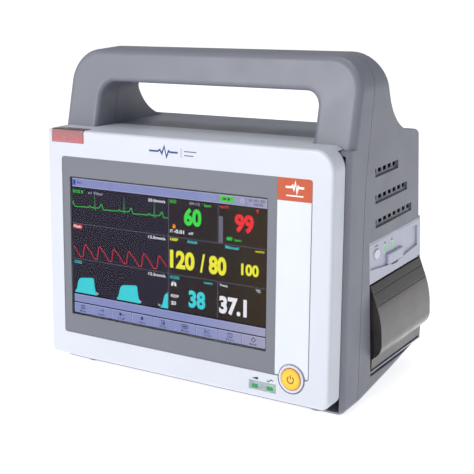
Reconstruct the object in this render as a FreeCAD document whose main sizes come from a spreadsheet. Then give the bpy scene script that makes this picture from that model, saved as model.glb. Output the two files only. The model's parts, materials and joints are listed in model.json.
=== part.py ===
import FreeCAD, Part
import Sketcher
import math
import os
import re

from FreeCAD import Placement, Rotation, Vector

# Patient monitor. Millimetres, +Z up, +Y from the screen towards the back, +X to the right of the screen.
# The origin is under the middle of the object, on the surface that its rubber feet stand on.
# The front leans back, so the pieces of the front are drawn in a leaning frame: its origin is the middle
# of the screen's height on the front face, x across, y into the case and z up along the face.

DIMENSIONS = [
    ("lean", 5, "lean of the front face, degrees"),
    ("face_rise", 105, "height of the screen's middle above the ground"),
    ("face_front", -69, "Y of the front face at the screen's middle"),
    ("screen_wide", 184.8, "lit area of an 8.5 inch 5:3 display"),
    ("screen_tall", 110.88, "lit area of an 8.5 inch 5:3 display"),
    ("screen_shift", -15.2, "screen's middle from the case's middle"),
    ("screen_drop", 0.5, "screen's middle below the leaning frame's origin"),
    ("window_margin", 1.45, "black margin round the lit area"),
    ("bezel_wide", 263.5, "white bezel"),
    ("bezel_bottom", 93.2, "bezel's bottom below the screen's middle"),
    ("bezel_deep", 16, "depth of the bezel's sides"),
    ("bezel_face", 4, "thickness of the bezel's front"),
    ("bezel_wall", 2.8, "thickness of the bezel's sides"),
    ("case_wide", 268.5, "grey housings at the parting line"),
    ("case_back", 77, "Y of the rear wall"),
    ("wall", 3, "housing wall"),
    ("draw_in", 1.2, "how far each side has drawn in at the rear wall"),
    ("handle_gap", 201, "clear width inside the handle"),
    ("grip_under", 232.5, "height of the grip's underside"),
    ("handle_top", 257.4, "height of the handle's top"),
    ("handle_corner", 26, "outer radius of the handle's corners"),
    ("seam", 0.4, "gap at the parting line"),
    ("key_radius", 8.15, "power key"),
    ("key_travel", 1.2, "travel of the power key"),
    ("running_gap", 0.3, "running gap round keys and covers"),
    ("glass_thick", 1.5, "touch glass"),
    ("lcd_thick", 6, "display module"),
    ("board_thick", 1.6, "printed circuit boards"),
    ("sheet_thick", 1, "chassis sheet metal"),
    ("printer_face", 133, "X of the side printer's face"),
    ("printer_front", -15.4, "Y of the printer frame's front edge"),
    ("printer_bottom", 17.9, "lowest height of the printer frame"),
    ("printer_top", 121.8, "top height of the printer frame"),
    ("printer_deep", 58, "depth of the printer bay"),
    ("printer_wall", 2.2, "wall of the printer bay"),
    ("panel_bottom", 90, "lower edge of the printer's panel"),
    ("door_bulge", 9.4, "how far the paper door stands out"),
    ("door_wall", 2, "thickness of the paper door"),
    ("hinge_in", 2.5, "hinge axis behind the printer's face"),
    ("hinge_rise", 24.6, "height of the hinge axis"),
    ("hinge_radius", 1.5, "hinge pin"),
    ("roll_radius", 22, "paper roll"),
    ("roll_wide", 79.5, "paper roll for 80 mm paper"),
    ("roll_in", 20, "roll axis behind the printer's face"),
    ("roll_rise", 50, "height of the roll axis"),
    ("platen_radius", 5, "platen roller"),
    ("platen_in", 9, "platen axis behind the printer's face"),
    ("platen_rise", 81.5, "height of the platen axis"),
    ("gear_module", 0.6, "module of the feed gears"),
    ("gear_wide", 4, "width of the feed gears"),
    ("platen_teeth", 18, "feed gear on the platen"),
    ("idler_teeth", 30, "idler gear"),
    ("pinion_teeth", 12, "motor pinion"),
    ("backlash", 0.16, "play between gear teeth, at the pitch circle"),
    ("screw_radius", 1.5, "case screws"),
    ("insert_radius", 3, "bracket inserts, outside"),
    ("insert_bore", 1.65, "bracket inserts, tapping bore for M4"),
    ("insert_long", 8, "bracket inserts"),
    ("bracket_wide", 100, "bracket inserts, centre to centre across"),
    ("bracket_deep", 50, "bracket inserts, centre to centre front to back"),
    ("foot_radius", 9, "rubber feet"),
    ("stud_radius", 3, "earth stud"),
    ("stud_collar", 3.6, "earth stud, where it passes through the rear plate"),
]

doc = FreeCAD.newDocument("PatientMonitor")
sheet = doc.addObject("Spreadsheet::Sheet", "Dims")
for row, (alias, value, note) in enumerate(DIMENSIONS, 1):
    sheet.set("A%d" % row, note)
    sheet.set("B%d" % row, str(value))
    sheet.setAlias("B%d" % row, alias)
doc.recompute()

ALIASES = [alias for alias, value, note in DIMENSIONS]
ALIAS_WORD = re.compile(r"\b(" + "|".join(ALIASES) + r")\b")
SUBPARTS = []
X, Y, Z = Vector(1, 0, 0), Vector(0, 1, 0), Vector(0, 0, 1)


class Sizes:
    """Reads a driving dimension from the sheet by its alias."""

    def __getattr__(self, alias):
        return float(sheet.get(alias))


size = Sizes()
LEAN = math.radians(size.lean)
FRONT_FRAME = Placement(Vector(0, size.face_front, size.face_rise), Rotation(X, -size.lean))
HALF_CASE = size.case_wide / 2
HALF_GAP = size.handle_gap / 2


def front(y, z):
    """Y and Z in the object's frame of a point y behind the front face and z up along it."""
    return (size.face_front + y * math.cos(LEAN) + z * math.sin(LEAN),
            size.face_rise + z * math.cos(LEAN) - y * math.sin(LEAN))


def bind(item, **formulas):
    """Ties properties to formulas over the sheet's aliases."""
    for name, formula in formulas.items():
        item.setExpression(name, ALIAS_WORD.sub(r"Dims.\1", str(formula)))
    return item


def subpart(label, item, placement=None):
    """Names a finished piece and puts it in its place."""
    item.Label = label
    if placement is not None:
        item.Placement = placement
    SUBPARTS.append(item)
    return item


def box(name, formulas, corner):
    """A block with three size formulas and its lowest corner."""
    item = doc.addObject("Part::Box", name)
    bind(item, Length=formulas[0], Width=formulas[1], Height=formulas[2])
    item.Placement.Base = Vector(*corner)
    return item


def rod(name, radius, length, start, along):
    """A cylinder from start along a direction."""
    item = doc.addObject("Part::Cylinder", name)
    bind(item, Radius=radius, Height=length)
    item.Placement = Placement(Vector(*start), Rotation(Z, along))
    return item


def cut(name, base, *tools):
    """Base with every tool taken away."""
    for number, tool in enumerate(tools, 1):
        item = doc.addObject("Part::Cut", "%s_cut%d" % (name, number))
        item.Base, item.Tool = base, tool
        base = item
    return base


def fuse(name, *pieces):
    item = doc.addObject("Part::MultiFuse", name)
    item.Shapes = list(pieces)
    return item


def common(name, *pieces):
    item = doc.addObject("Part::MultiCommon", name)
    item.Shapes = list(pieces)
    return item


def group(name, pieces):
    """Separate solids that share one node."""
    item = doc.addObject("Part::Compound", name)
    item.Links = list(pieces)
    return item


def outline(name, axis, start, corners):
    """A closed sketch across an axis; corners are (u, v) or (u, v, radius)."""
    turn = {"X": Rotation(Vector(1, 1, 1), 120), "Y": Rotation(X, 90), "Z": Rotation()}[axis]
    sketch = doc.addObject("Sketcher::SketchObject", name)
    sketch.Placement = Placement({"X": X, "Y": Y, "Z": Z}[axis] * start, turn)
    points = [Vector(c[0], c[1], 0) for c in corners]
    stops = []
    for number, corner in enumerate(corners):
        here = points[number]
        back = (points[number - 1] - here).normalize()
        ahead = (points[(number + 1) % len(points)] - here).normalize()
        radius = corner[2] if len(corner) > 2 else 0
        if radius:
            half = back.getAngle(ahead) / 2
            reach = radius / math.tan(half)
            middle = here + (back + ahead).normalize() * (radius / math.sin(half) - radius)
            stops.append((here + back * reach, middle, here + ahead * reach))
        else:
            stops.append((here, None, here))
    for number, (first, middle, last) in enumerate(stops):
        if middle is not None:
            sketch.addGeometry(Part.Arc(first, middle, last))
        following = stops[(number + 1) % len(stops)][0]
        if (following - last).Length > 1e-6:
            sketch.addGeometry(Part.LineSegment(last, following))
    return sketch


def slab(name, axis, start, length, corners):
    """An outline extruded along its axis from start; length is a formula."""
    item = doc.addObject("Part::Extrusion", name)
    item.Base = outline(name + "_outline", axis, start, corners)
    item.DirMode = "Custom"
    item.Dir = {"X": X, "Y": Y, "Z": Z}[axis]
    item.Solid = True
    bind(item, LengthFwd=length)
    return item


def soften(name, base, radius, wanted):
    """Rounds the edges that a test picks."""
    doc.recompute()
    item = doc.addObject("Part::Fillet", name)
    item.Base = base
    item.Edges = [(number, radius, radius) for number, edge in enumerate(base.Shape.Edges, 1) if wanted(edge)]
    return item


def plate(name, wide, tall, thick, corner=None):
    """A PartDesign plate across Y, centred on its origin, with its thickness towards +Y."""
    body = doc.addObject("PartDesign::Body", name)
    sketch = body.newObject("Sketcher::SketchObject", name + "_sketch")
    sketch.AttachmentSupport = ([f for f in body.Origin.OriginFeatures if f.Role == "XZ_Plane"][0], [""])
    sketch.MapMode = "FlatFace"
    ends = [Vector(-10, -5, 0), Vector(10, -5, 0), Vector(10, 5, 0), Vector(-10, 5, 0)]
    for number in range(4):
        sketch.addGeometry(Part.LineSegment(ends[number], ends[(number + 1) % 4]))
    for number in range(4):
        sketch.addConstraint(Sketcher.Constraint("Coincident", number, 2, (number + 1) % 4, 1))
    for number, kind in enumerate(("Horizontal", "Vertical", "Horizontal", "Vertical")):
        sketch.addConstraint(Sketcher.Constraint(kind, number))
    sketch.addConstraint(Sketcher.Constraint("Symmetric", 0, 1, 2, 1, -1, 1))
    for kind, line, formula in (("DistanceX", 0, wide), ("DistanceY", 1, tall)):
        index = sketch.addConstraint(Sketcher.Constraint(kind, line, 1, line, 2, 10.0))
        sketch.setExpression("Constraints[%d]" % index, ALIAS_WORD.sub(r"Dims.\1", str(formula)))
    pad = body.newObject("PartDesign::Pad", name + "_pad")
    pad.Profile = sketch
    pad.Reversed = True
    bind(pad, Length=thick)
    if corner:
        doc.recompute()
        upright = ["Edge%d" % number for number, edge in enumerate(pad.Shape.Edges, 1)
                   if abs(edge.tangentAt(edge.FirstParameter).y) > 0.99]
        fillet = body.newObject("PartDesign::Fillet", name + "_corners")
        fillet.Base = (pad, upright)
        bind(fillet, Radius=corner)
    return body


def at_front(x, y, z):
    """The place of a piece of the front, given in the leaning frame."""
    return FRONT_FRAME.multiply(Placement(Vector(x, y, z), Rotation()))


def gear(name, teeth, phase, start):
    """An involute spur gear across Y; phase is the angle of the middle of its first tooth."""
    pitch = size.gear_module * teeth / 2
    base = pitch * math.cos(math.radians(20))
    tip = pitch + size.gear_module
    root = pitch - 1.25 * size.gear_module
    half_at_pitch = (math.pi * size.gear_module / 2 - size.backlash) / 2 / pitch
    involute = lambda radius: math.tan(math.acos(base / radius)) - math.acos(base / radius)
    corners = []
    for tooth in range(teeth):
        middle = phase + 2 * math.pi * tooth / teeth
        radii = [max(base, root) + (tip - max(base, root)) * step / 3 for step in range(4)]
        halves = [half_at_pitch + involute(pitch) - involute(radius) for radius in radii]
        flank = [(root, halves[0])] + list(zip(radii, halves))
        for radius, half in flank:
            corners.append((radius * math.cos(middle - half), radius * math.sin(middle - half)))
        for radius, half in reversed(flank):
            corners.append((radius * math.cos(middle + half), radius * math.sin(middle + half)))
    item = slab(name, "Y", 0, "gear_wide", corners)
    item.Placement.Base = Vector(*start)
    return item


# ---------------------------------------------------------------- profiles of the case

def deck(y):
    """Height of the top deck at Y: it falls slightly towards the back."""
    return 198.3 - 0.0325 * (y + 61)


DRAW_START = 18.0
PARTING_FOOT = (-37.0, 0.5)
PARTING_BEND = (-20.9, 164.9)
PARTING_HEAD = (1.9, 262.0)
HANDLE_FOOT = (-37.0, 197.2)
HANDLE_BROW = (-17.4, size.handle_top + 5)
HANDLE_NAPE = (10.0, size.handle_top + 5)
HANDLE_HEEL = (28.0, deck(28.0))
BACK_TOP = (size.case_back, deck(size.case_back) - 0.6)
BACK_BOTTOM = (size.case_back, 17.6)
KEEL = (-31.0, 2.5)
CHIN = front(size.bezel_deep + 0.2, -102.3)
SHOULDER = front(size.bezel_deep + 0.2, 91.2)


def parting_at(z):
    """Y of the parting surface at a height."""
    foot, bend, head = PARTING_FOOT, PARTING_BEND, PARTING_HEAD
    low, high = (foot, bend) if z < bend[1] else (bend, head)
    return low[0] + (high[0] - low[0]) * (z - low[1]) / (high[1] - low[1])


def handle_front_at(z):
    """Y of the handle's front face at a height."""
    rise = (z - HANDLE_FOOT[1]) / (HANDLE_BROW[1] - HANDLE_FOOT[1])
    return HANDLE_FOOT[0] + (HANDLE_BROW[0] - HANDLE_FOOT[0]) * rise


def side_area(name, half, corners):
    """A side view outline extruded across the case's width."""
    return slab(name, "X", -half, 2 * half, corners)


def parting_front(name, gap):
    """Everything in front of the parting surface, less a gap."""
    foot, bend, head = ((y - gap, z) for y, z in (PARTING_FOOT, PARTING_BEND, PARTING_HEAD))
    return side_area(name, 150, [
        (-120, -5), (foot[0], -5), foot, bend + (160,), head, (head[0], 270), (-120, 270)])


def parting_back(name, gap):
    foot, bend, head = ((y + gap, z) for y, z in (PARTING_FOOT, PARTING_BEND, PARTING_HEAD))
    return side_area(name, 150, [
        (foot[0], -5), (120, -5), (120, 270), (head[0], 270), head, bend + (160,), foot])


def case_outside(name):
    """The whole grey case with its handle, seen from the side, before it is parted."""
    return side_area(name, HALF_CASE, [
        CHIN + (6,), SHOULDER, (handle_front_at(SHOULDER[1]), SHOULDER[1]), HANDLE_BROW, HANDLE_NAPE,
        HANDLE_HEEL + (42,), BACK_TOP + (16,), BACK_BOTTOM + (7,), KEEL + (25,)])


def case_inside(name, half):
    """The room inside the case, one wall in from its outside."""
    wall = size.wall
    return side_area(name, half, [
        (CHIN[0] - 20, KEEL[1] + wall), (KEEL[0], KEEL[1] + wall),
        (BACK_BOTTOM[0] - wall, BACK_BOTTOM[1] + wall, 4), (BACK_TOP[0] - wall, BACK_TOP[1] - wall, 14),
        (SHOULDER[0], deck(SHOULDER[0]) - 2 * wall - 0.5),
        front(0, 86)])


def handle_hole(name, floor=deck):
    """The grip's opening, above the deck and under the grip, with rounded upper corners."""
    half = HALF_GAP
    tall = slab(name + "_across", "Y", -80, 240, [
        (-half, 150), (half, 150), (half, size.grip_under, 12), (-half, size.grip_under, 12)])
    above = side_area(name + "_above", half + 1, [
        (-90, floor(-90)), (110, floor(110)), (110, 270), (-90, 270)])
    return common(name, tall, above)


def handle_arch(name):
    """Front view of case and handle: straight sides, with the handle's rounded shoulders."""
    top = size.handle_top
    return slab(name, "Y", -100, 240, [
        (-HALF_CASE, -2), (HALF_CASE, -2), (HALF_CASE, top, size.handle_corner),
        (-HALF_CASE, top, size.handle_corner)])


def side_edge(edge, half, low=-1.0):
    """Whether an edge lies in a side face of the case."""
    bounds = edge.BoundBox
    return min(abs(bounds.XMin), abs(bounds.XMax)) > half - 0.05 and bounds.ZMin > low


# ---------------------------------------------------------------- grey housings

def front_housing():
    shell = common("front_shell", case_outside("front_outside"), handle_arch("front_arch"),
                   parting_front("front_part", size.seam / 2))
    opening = handle_hole("front_hole", lambda y: deck(y) - size.bezel_wall - 0.2)
    holed = cut("front_holed", shell, opening)
    reach = lambda edge: max(abs(edge.BoundBox.XMin), abs(edge.BoundBox.XMax))
    outer_edge = lambda edge: on_handle_front(edge) and reach(edge) > HALF_GAP + 3.5
    inner_edge = lambda edge: (on_handle_front(edge) and edge.BoundBox.ZMax < size.grip_under + 0.1
                               and abs(edge.CenterOfMass.x) < HALF_GAP + 1)
    handle = soften("handle_rim_soft", holed, 5.5, outer_edge)
    handle = soften("grip_rim_soft", handle, 4, inner_edge)
    low_rim = lambda edge: (side_edge(edge, HALF_CASE) and edge.BoundBox.ZMax < SHOULDER[1] + 0.1
                            and not on_parting(edge, -size.seam / 2)
                            and edge.BoundBox.YMax < SHOULDER[0] + 0.1)
    shell = soften("front_rim_soft", handle, 6, low_rim)
    inside = case_inside("front_inside", HALF_CASE - size.wall)
    window = slab("front_window", "Y", -100, 60, [
        (-HALF_CASE + 8, 12), (HALF_CASE - 8, 12), (HALF_CASE - 8, 186), (-HALF_CASE + 8, 186)])
    return cut("front_hollow", shell, inside, window)


def on_parting(edge, gap):
    """Whether an edge lies on the parting surface."""
    middle = edge.valueAt((edge.FirstParameter + edge.LastParameter) / 2)
    return all(abs(parting_at(point.z) + gap - point.y) < 0.9
               for point in (edge.valueAt(edge.FirstParameter), middle, edge.valueAt(edge.LastParameter)))


def on_handle_front(edge):
    """Whether an edge bounds the handle's front face, apart from its foot."""
    bounds = edge.BoundBox
    middle = edge.valueAt((edge.FirstParameter + edge.LastParameter) / 2)
    return abs(middle.y - handle_front_at(middle.z)) < 0.3 and bounds.ZMax > 200 and bounds.YLength < 30


def rear_plan(name, inset, back):
    """Plan of the rear housing: behind the handle the sides draw in, and the rear corners are round."""
    start, end = -60.0, size.case_back - back
    half = HALF_CASE - inset
    narrow = half - size.draw_in
    corner = 6 if inset == 0 else 3.5
    return slab(name, "Z", -10, 300, [
        (-half, start), (half, start), (half, DRAW_START, 400), (narrow, end, corner), (-narrow, end, corner),
        (-half, DRAW_START, 400)])


VENT_ROWS = ((173.4, 5), (153.6, 7), (135.2, 8))
VENT_PITCH = 8.1
VENT_START = -4.6
VENT_LONG = 5.4
CHANNEL_DEEP = 2.2


def vents(side):
    """Rows of slots through a side wall, each in a shallow channel with a lip below."""
    tools = []
    outer = side * (HALF_CASE + 1)
    thick = CHANNEL_DEEP + 1
    for row, (height, count) in enumerate(VENT_ROWS):
        long = VENT_PITCH * (count - 1) + VENT_LONG
        low_x = outer if side < 0 else outer - thick
        tools.append(box("channel_%d_%d" % (row, side), (thick, long + 1.2, 6.4),
                         (low_x, VENT_START - 0.6, height - 4.6)))
        for number in range(count):
            low_x = outer - 1 if side < 0 else outer - 9
            tools.append(box("slot_%d_%d_%d" % (row, number, side), (10, VENT_LONG, 4),
                             (low_x, VENT_START + number * VENT_PITCH, height - 2.3)))
    return tools


SPEAKER = (-92.0, 150.0)
GRILLE_PITCH = 5
PLATE_WINDOW = (24.0, 110.0, 134.0, 166.0)
BATTERY_WINDOW = (-112.0, 40.0, 27.0, 59.0)
PORT_WINDOW = (-12.0, 66.0, 30.0, 112.0)
CASE_SCREWS = ((-116, 168), (118, 168), (-116, 72), (58, 72))
BRACKET = Vector(-20, 15, 4.4)


def floor_outside(y):
    """Height of the case's underside at Y, behind its flat front part."""
    return KEEL[1] + (y - KEEL[0]) * (BACK_BOTTOM[1] - KEEL[1]) / (BACK_BOTTOM[0] - KEEL[0])


def window_box(name, window, y, deep):
    left, right, low, high = window
    return box(name, (right - left, deep, high - low), (left, y, low))


def rear_housing():
    shell = common("rear_shell", case_outside("rear_outside"), handle_arch("rear_arch"),
                   parting_back("rear_part", size.seam / 2), rear_plan("rear_sides", 0, 0))
    shell = cut("rear_holed", shell, handle_hole("rear_hole"))
    low_rim = lambda edge: (side_edge(edge, HALF_CASE - 3) and edge.BoundBox.ZMax < 20
                            and not on_parting(edge, size.seam / 2) and edge.BoundBox.YLength > 30)
    shell = soften("rear_rim_soft", shell, 6, low_rim)
    inside = common("rear_room", case_inside("rear_inside", HALF_CASE + 5),
                    rear_plan("rear_inner_sides", size.wall, size.wall))
    pad = box("bracket_pad", ("bracket_wide + 20", "bracket_deep + 20", 10),
              (BRACKET.x - size.bracket_wide / 2 - 10, BRACKET.y - size.bracket_deep / 2 - 10, BRACKET.z))
    shell = fuse("rear_with_pad", cut("rear_emptied", shell, inside), pad)
    printer_gap = box("printer_gap", ("printer_deep + 60", "case_back - printer_front + 60",
                                      "printer_top - printer_bottom + 0.4"),
                      (size.printer_face - size.printer_deep - 0.2, size.printer_front - 0.2,
                       size.printer_bottom - 0.2))
    grille = []
    for ring in (1, 2, 3):
        for number in range(6 * ring):
            turn = 2 * math.pi * number / (6 * ring)
            x = SPEAKER[0] + ring * GRILLE_PITCH * math.cos(turn)
            z = SPEAKER[1] + ring * GRILLE_PITCH * math.sin(turn)
            grille.append(rod("grille_%d_%d" % (ring, number), 1.3, 12, (x, size.case_back - 8, z), Y))
    low_y, high_y, low_z, high_z = PORT_WINDOW
    ports = box("port_window", (30, high_y - low_y, high_z - low_z), (-150, low_y, low_z))
    screws = [rod("screw_hole_%d" % number, "screw_radius + 0.1", 20, (x, size.case_back - 16, z), Y)
              for number, (x, z) in enumerate(CASE_SCREWS)]
    inserts = [rod("insert_hole_%d" % number, "insert_radius", "insert_long", (x, y, BRACKET.z), Z)
               for number, (x, y) in enumerate(bracket_corners())]
    return cut("rear_hollow", shell, printer_gap,
               window_box("plate_window", PLATE_WINDOW, size.case_back - 9, 30),
               window_box("battery_window", BATTERY_WINDOW, size.case_back - 10, 30), ports,
               group("rear_holes", grille + screws + inserts), group("vent_holes", vents(1) + vents(-1)))


def bracket_corners():
    """The four bracket screws' places."""
    return [(BRACKET.x + side * size.bracket_wide / 2, BRACKET.y + end * size.bracket_deep / 2)
            for side in (-1, 1) for end in (-1, 1)]


# ---------------------------------------------------------------- white bezel and the screen

KEY = (100.9, -73.95)
KEY_PROUD = 1.2
KEY_STEM_END = 8.2
RING = 11.3
RING_BORE = 10.35
INLAY = (-116.6, 115.4, -73.4, 72.4)
INLAY_DEEP = 0.5
INLAY_THICK = 1.0
INLAY_CORNER = 2.4
STRIP = (86.5, 114.4, -72.6, 56.0)
BADGE_TOP = INLAY[3] - 0.1
GLASS_FRONT = 0.7
LCD_FRONT = 2.4
STATUS = (64.65, 88.15, -87.5, -80.7)
LAMP = (-126.65, -93.25, 83.5, 94.3)


def front_slab(name, start, thick, left, right, low, high, *radii):
    """A block of the leaning front, from its depth and outline; one radius, or four from lower left round."""
    radii = radii if len(radii) == 4 else (radii or (0,)) * 4
    corners = [(left, low), (right, low), (right, high), (left, high)]
    item = slab(name, "Y", 0, thick, [corner + (radius,) for corner, radius in zip(corners, radii)])
    item.Placement = at_front(0, start, 0)
    return item


def front_rod(name, radius, start, length, x, z):
    item = rod(name, radius, length, (0, 0, 0), Y)
    item.Placement = at_front(x, start, z).multiply(Placement(Vector(), Rotation(Z, Y)))
    return item


def on_front_face(edge):
    """Whether an edge lies in the leaning front face."""
    ends = (edge.valueAt(edge.FirstParameter), edge.valueAt(edge.LastParameter))
    return all(abs(FRONT_FRAME.inverse().multVec(point).y) < 0.01 for point in ends)


def front_bezel():
    half, wall = size.bezel_wide / 2, size.bezel_wall
    low = front(0, -size.bezel_bottom)[1]
    top = deck(-61)
    face = slab("bezel_face", "Y", -100, 130, [
        (-half, low, 5), (half, low, 7), (half, top, 16), (-half, top, 3.2)])
    tongue_top, tongue_under = deck(-14), deck(-14) - wall
    side = side_area("bezel_side", half + 1, [
        front(0, -120), front(0, 120), (-40, deck(-40) + 12), (-40, deck(-40)),
        (parting_at(tongue_top) - size.running_gap, tongue_top),
        (parting_at(tongue_under) - size.running_gap, tongue_under),
        front(size.bezel_deep, 91.7), front(size.bezel_deep, -120)])
    top_plane = side_area("bezel_top", half + 1, [
        (-120, 0), (40, 0), (40, deck(40)), (-120, deck(-120))])
    solid = soften("bezel_soft", common("bezel_solid", face, side, top_plane), 2.4, on_front_face)
    hollow = slab("bezel_room", "Y", 0, 60, [
        (-half + wall, -90.4, 3), (half - wall, -90.4, 8), (half - wall, 90.4, 12), (-half + wall, 90.4, 2)])
    hollow.Placement = at_front(0, size.bezel_face, 0)
    legs = [slab("leg_gap_%d" % number, "X", start, 60, [
        (handle_front_at(185) - size.running_gap, 185), (handle_front_at(210) - size.running_gap, 210),
        (30, 210), (30, 185)])
        for number, start in enumerate((-HALF_GAP + size.running_gap - 60, HALF_GAP - size.running_gap))]
    return cut(
        "bezel", solid, hollow, legs[0], legs[1],
        front_slab("inlay_recess", -1, 1 + INLAY_DEEP + INLAY_THICK, *INLAY, INLAY_CORNER),
        front_rod("ring_recess", RING + 0.05, -1, 1 + INLAY_DEEP + INLAY_THICK, *KEY),
        front_slab("glass_window", -1, 3.35, *around_screen(size.window_margin + 0.1), 1.1),
        front_slab("display_window", LCD_FRONT - 0.1, 8, *around_screen(7)),
        front_rod("collar_hole", RING_BORE, -2, 12, *KEY),
        front_slab("status_hole", -1, 8, *STATUS),
        front_slab("lamp_notch", -6, 18.2, LAMP[0] - 0.1, LAMP[1] + 0.1, LAMP[2] - 0.1, 110))


def around_screen(margin):
    """Left, right, low and high of the lit area with a margin round it."""
    half, rise = size.screen_wide / 2 + margin, size.screen_tall / 2 + margin
    return (size.screen_shift - half, size.screen_shift + half,
            -size.screen_drop - rise, -size.screen_drop + rise)


def display_surround():
    """The grey panel round the screen, with a thin border round the strip and a ring round the power key."""
    base = front_slab("surround_base", INLAY_DEEP, INLAY_THICK, INLAY[0] + 0.1, INLAY[1] - 0.1,
                      INLAY[2] + 0.1, INLAY[3] - 0.1, INLAY_CORNER)
    ring = front_rod("surround_ring", RING, INLAY_DEEP, INLAY_THICK, *KEY)
    return cut("surround", fuse("surround_solid", base, ring),
               front_slab("surround_window", -1, 4, *around_screen(size.window_margin), 1),
               front_slab("strip_opening", -1, 4, *STRIP, 0, 1.6, 0, 0),
               front_slab("badge_opening", -1, 4, STRIP[0], STRIP[1] + 0.5, STRIP[3] - 1, INLAY[3] + 1),
               front_rod("surround_bore", RING_BORE, -1, 4, *KEY))


def side_strip():
    left, right, low, high = STRIP
    base = front_slab("strip_base", INLAY_DEEP, INLAY_THICK, left + 0.05,
                      right - 0.05, low + 0.05, high - 0.05,
                      0, 1.6, 0, 0)
    return cut("strip", base, front_rod("strip_bite", RING + 0.05, -1, 6, *KEY))


def power_key():
    cap = front_rod("key_cap", "key_radius", -KEY_PROUD, KEY_PROUD + 2.2, *KEY)
    stem = front_rod("key_stem", 3, 2.2, KEY_STEM_END - 2.2, *KEY)
    return soften("key_soft", fuse("key_solid", cap, stem), 0.9,
                  lambda edge: abs(FRONT_FRAME.inverse().multVec(edge.CenterOfMass).y + KEY_PROUD) < 0.01)


def key_switch():
    body = front_slab("switch_body", 10.2, 1.8, KEY[0] - 3, KEY[0] + 3, KEY[1] - 3, KEY[1] + 3)
    rest = KEY_STEM_END + size.key_travel + 0.1
    return fuse("switch", body, front_rod("switch_plunger", 1.75, rest, 10.3 - rest, *KEY))


def alarm_lens():
    outer = front_slab("lens_outer", -0.4, 12.4, LAMP[0], LAMP[1], LAMP[2], LAMP[3])
    outer = soften("lens_soft", outer, 1.2,
                   lambda edge: FRONT_FRAME.inverse().multVec(edge.CenterOfMass).y < 0
                   or FRONT_FRAME.inverse().multVec(edge.CenterOfMass).z > LAMP[3] - 0.01)
    room = front_slab("lens_room", 1.6, 14, LAMP[0] + 1.8, LAMP[1] - 1.8, LAMP[2] - 4, LAMP[3] - 1.8)
    return cut("lens", outer, room)


def alarm_board():
    board = front_slab("lamp_board", 9, "board_thick", LAMP[0] + 2.4, LAMP[1] - 2.4, LAMP[2] + 1, LAMP[3] - 3)
    lamps = [front_slab("lamp_%d" % number, 7.2, 1.9, x - 1.6, x + 1.6, LAMP[2] + 3, LAMP[2] + 6)
             for number, x in enumerate((-119, -110, -101))]
    return fuse("alarm_electronics", board, *lamps)


def lcd_bracket():
    behind = LCD_FRONT + size.lcd_thick + 0.1
    base = front_slab("bracket_base", behind, "sheet_thick", *around_screen(10.5), 4)
    return cut("bracket", base, front_slab("bracket_window", behind - 1, 4, *around_screen(-17), 6))


subpart("front_bezel", front_bezel())
subpart("front_housing", front_housing())
subpart("rear_housing", rear_housing())
subpart("display_surround", display_surround())
subpart("side_strip", side_strip())
subpart("badge_plate", front_slab("badge", INLAY_DEEP, INLAY_THICK, STRIP[0] + 0.05, STRIP[1] + 0.45,
                                  STRIP[3] + 0.05, BADGE_TOP, 0, 0, INLAY_CORNER, 0))
subpart("touch_glass", plate("glass", "screen_wide + 2 * window_margin - 0.2",
                             "screen_tall + 2 * window_margin - 0.2", "glass_thick", 0.9),
        at_front(size.screen_shift, GLASS_FRONT, -size.screen_drop))
subpart("lcd_module", plate("display", "screen_wide + 13.6", "screen_tall + 13", "lcd_thick", 1.5),
        at_front(size.screen_shift, LCD_FRONT, -size.screen_drop))
subpart("lcd_bracket", lcd_bracket())
subpart("power_key", power_key())
subpart("key_collar", cut("collar", front_rod("collar_outer", RING_BORE - 0.05, -0.4, 5.4, *KEY),
                          front_rod("collar_bore", "key_radius + running_gap", -2, 10, *KEY)))
subpart("key_switch", key_switch())
subpart("keypad_board", plate("keypad", 62, 21, "board_thick", 2), at_front(84, 12, -79))
subpart("status_window", plate("status_pane", 23.3, 6.6, 2, 0.8), at_front(76.4, 0.1, -84.1))
subpart("status_lamps", group("light_pipes", [
    front_slab("pipe_%d" % number, 2.2, 9.7, x - 3, x + 3, -85.3, -81.9)
    for number, x in enumerate((70.3, 83.3))]))
subpart("alarm_lens", alarm_lens())
subpart("alarm_board", alarm_board())


# ---------------------------------------------------------------- inside the case

def chassis():
    upright = box("chassis_upright", (182, "sheet_thick", 160), (-118, -20, 15))
    foot = box("chassis_foot", (182, 42, "sheet_thick"), (-118, -20, 15))
    holes = [rod("chassis_hole_%d" % number, 2, 10, (x, -24, z), Y)
             for number, (x, z) in enumerate(((-110, 165), (56, 165), (-110, 30), (56, 30)))]
    return cut("chassis_sheet", fuse("chassis_bent", upright, foot), *holes)


def main_board():
    board = box("main_base", (150, "board_thick", 105), (-95, -14, 62))
    chips = [box("chip_%d" % number, (wide, deep, tall), (x, -12.5, z))
             for number, (x, z, wide, deep, tall) in enumerate((
        (-40, 100, 27, 2.2, 27), (0, 108, 14, 1.2, 14), (0, 88, 14, 1.2, 14), (-80, 140, 20, 9, 8),
        (20, 140, 24, 6, 10), (-85, 80, 18, 14, 12), (30, 72, 10, 11, 30)))]
    return fuse("main_electronics", board, *chips)


def power_supply():
    board = box("supply_base", (54, 70, "board_thick"), (70, -8, 127))
    coil = box("supply_coil", (28, 24, 22), (90, 10, 128))
    sink = box("supply_sink", (3, 46, 24), (73, 0, 128))
    cans = [rod("supply_can_%d" % number, 8, 26, (x, y, 128), Z)
            for number, (x, y) in enumerate(((112, 48), (94, 48)))]
    return fuse("supply_electronics", board, coil, sink, *cans)


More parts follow.
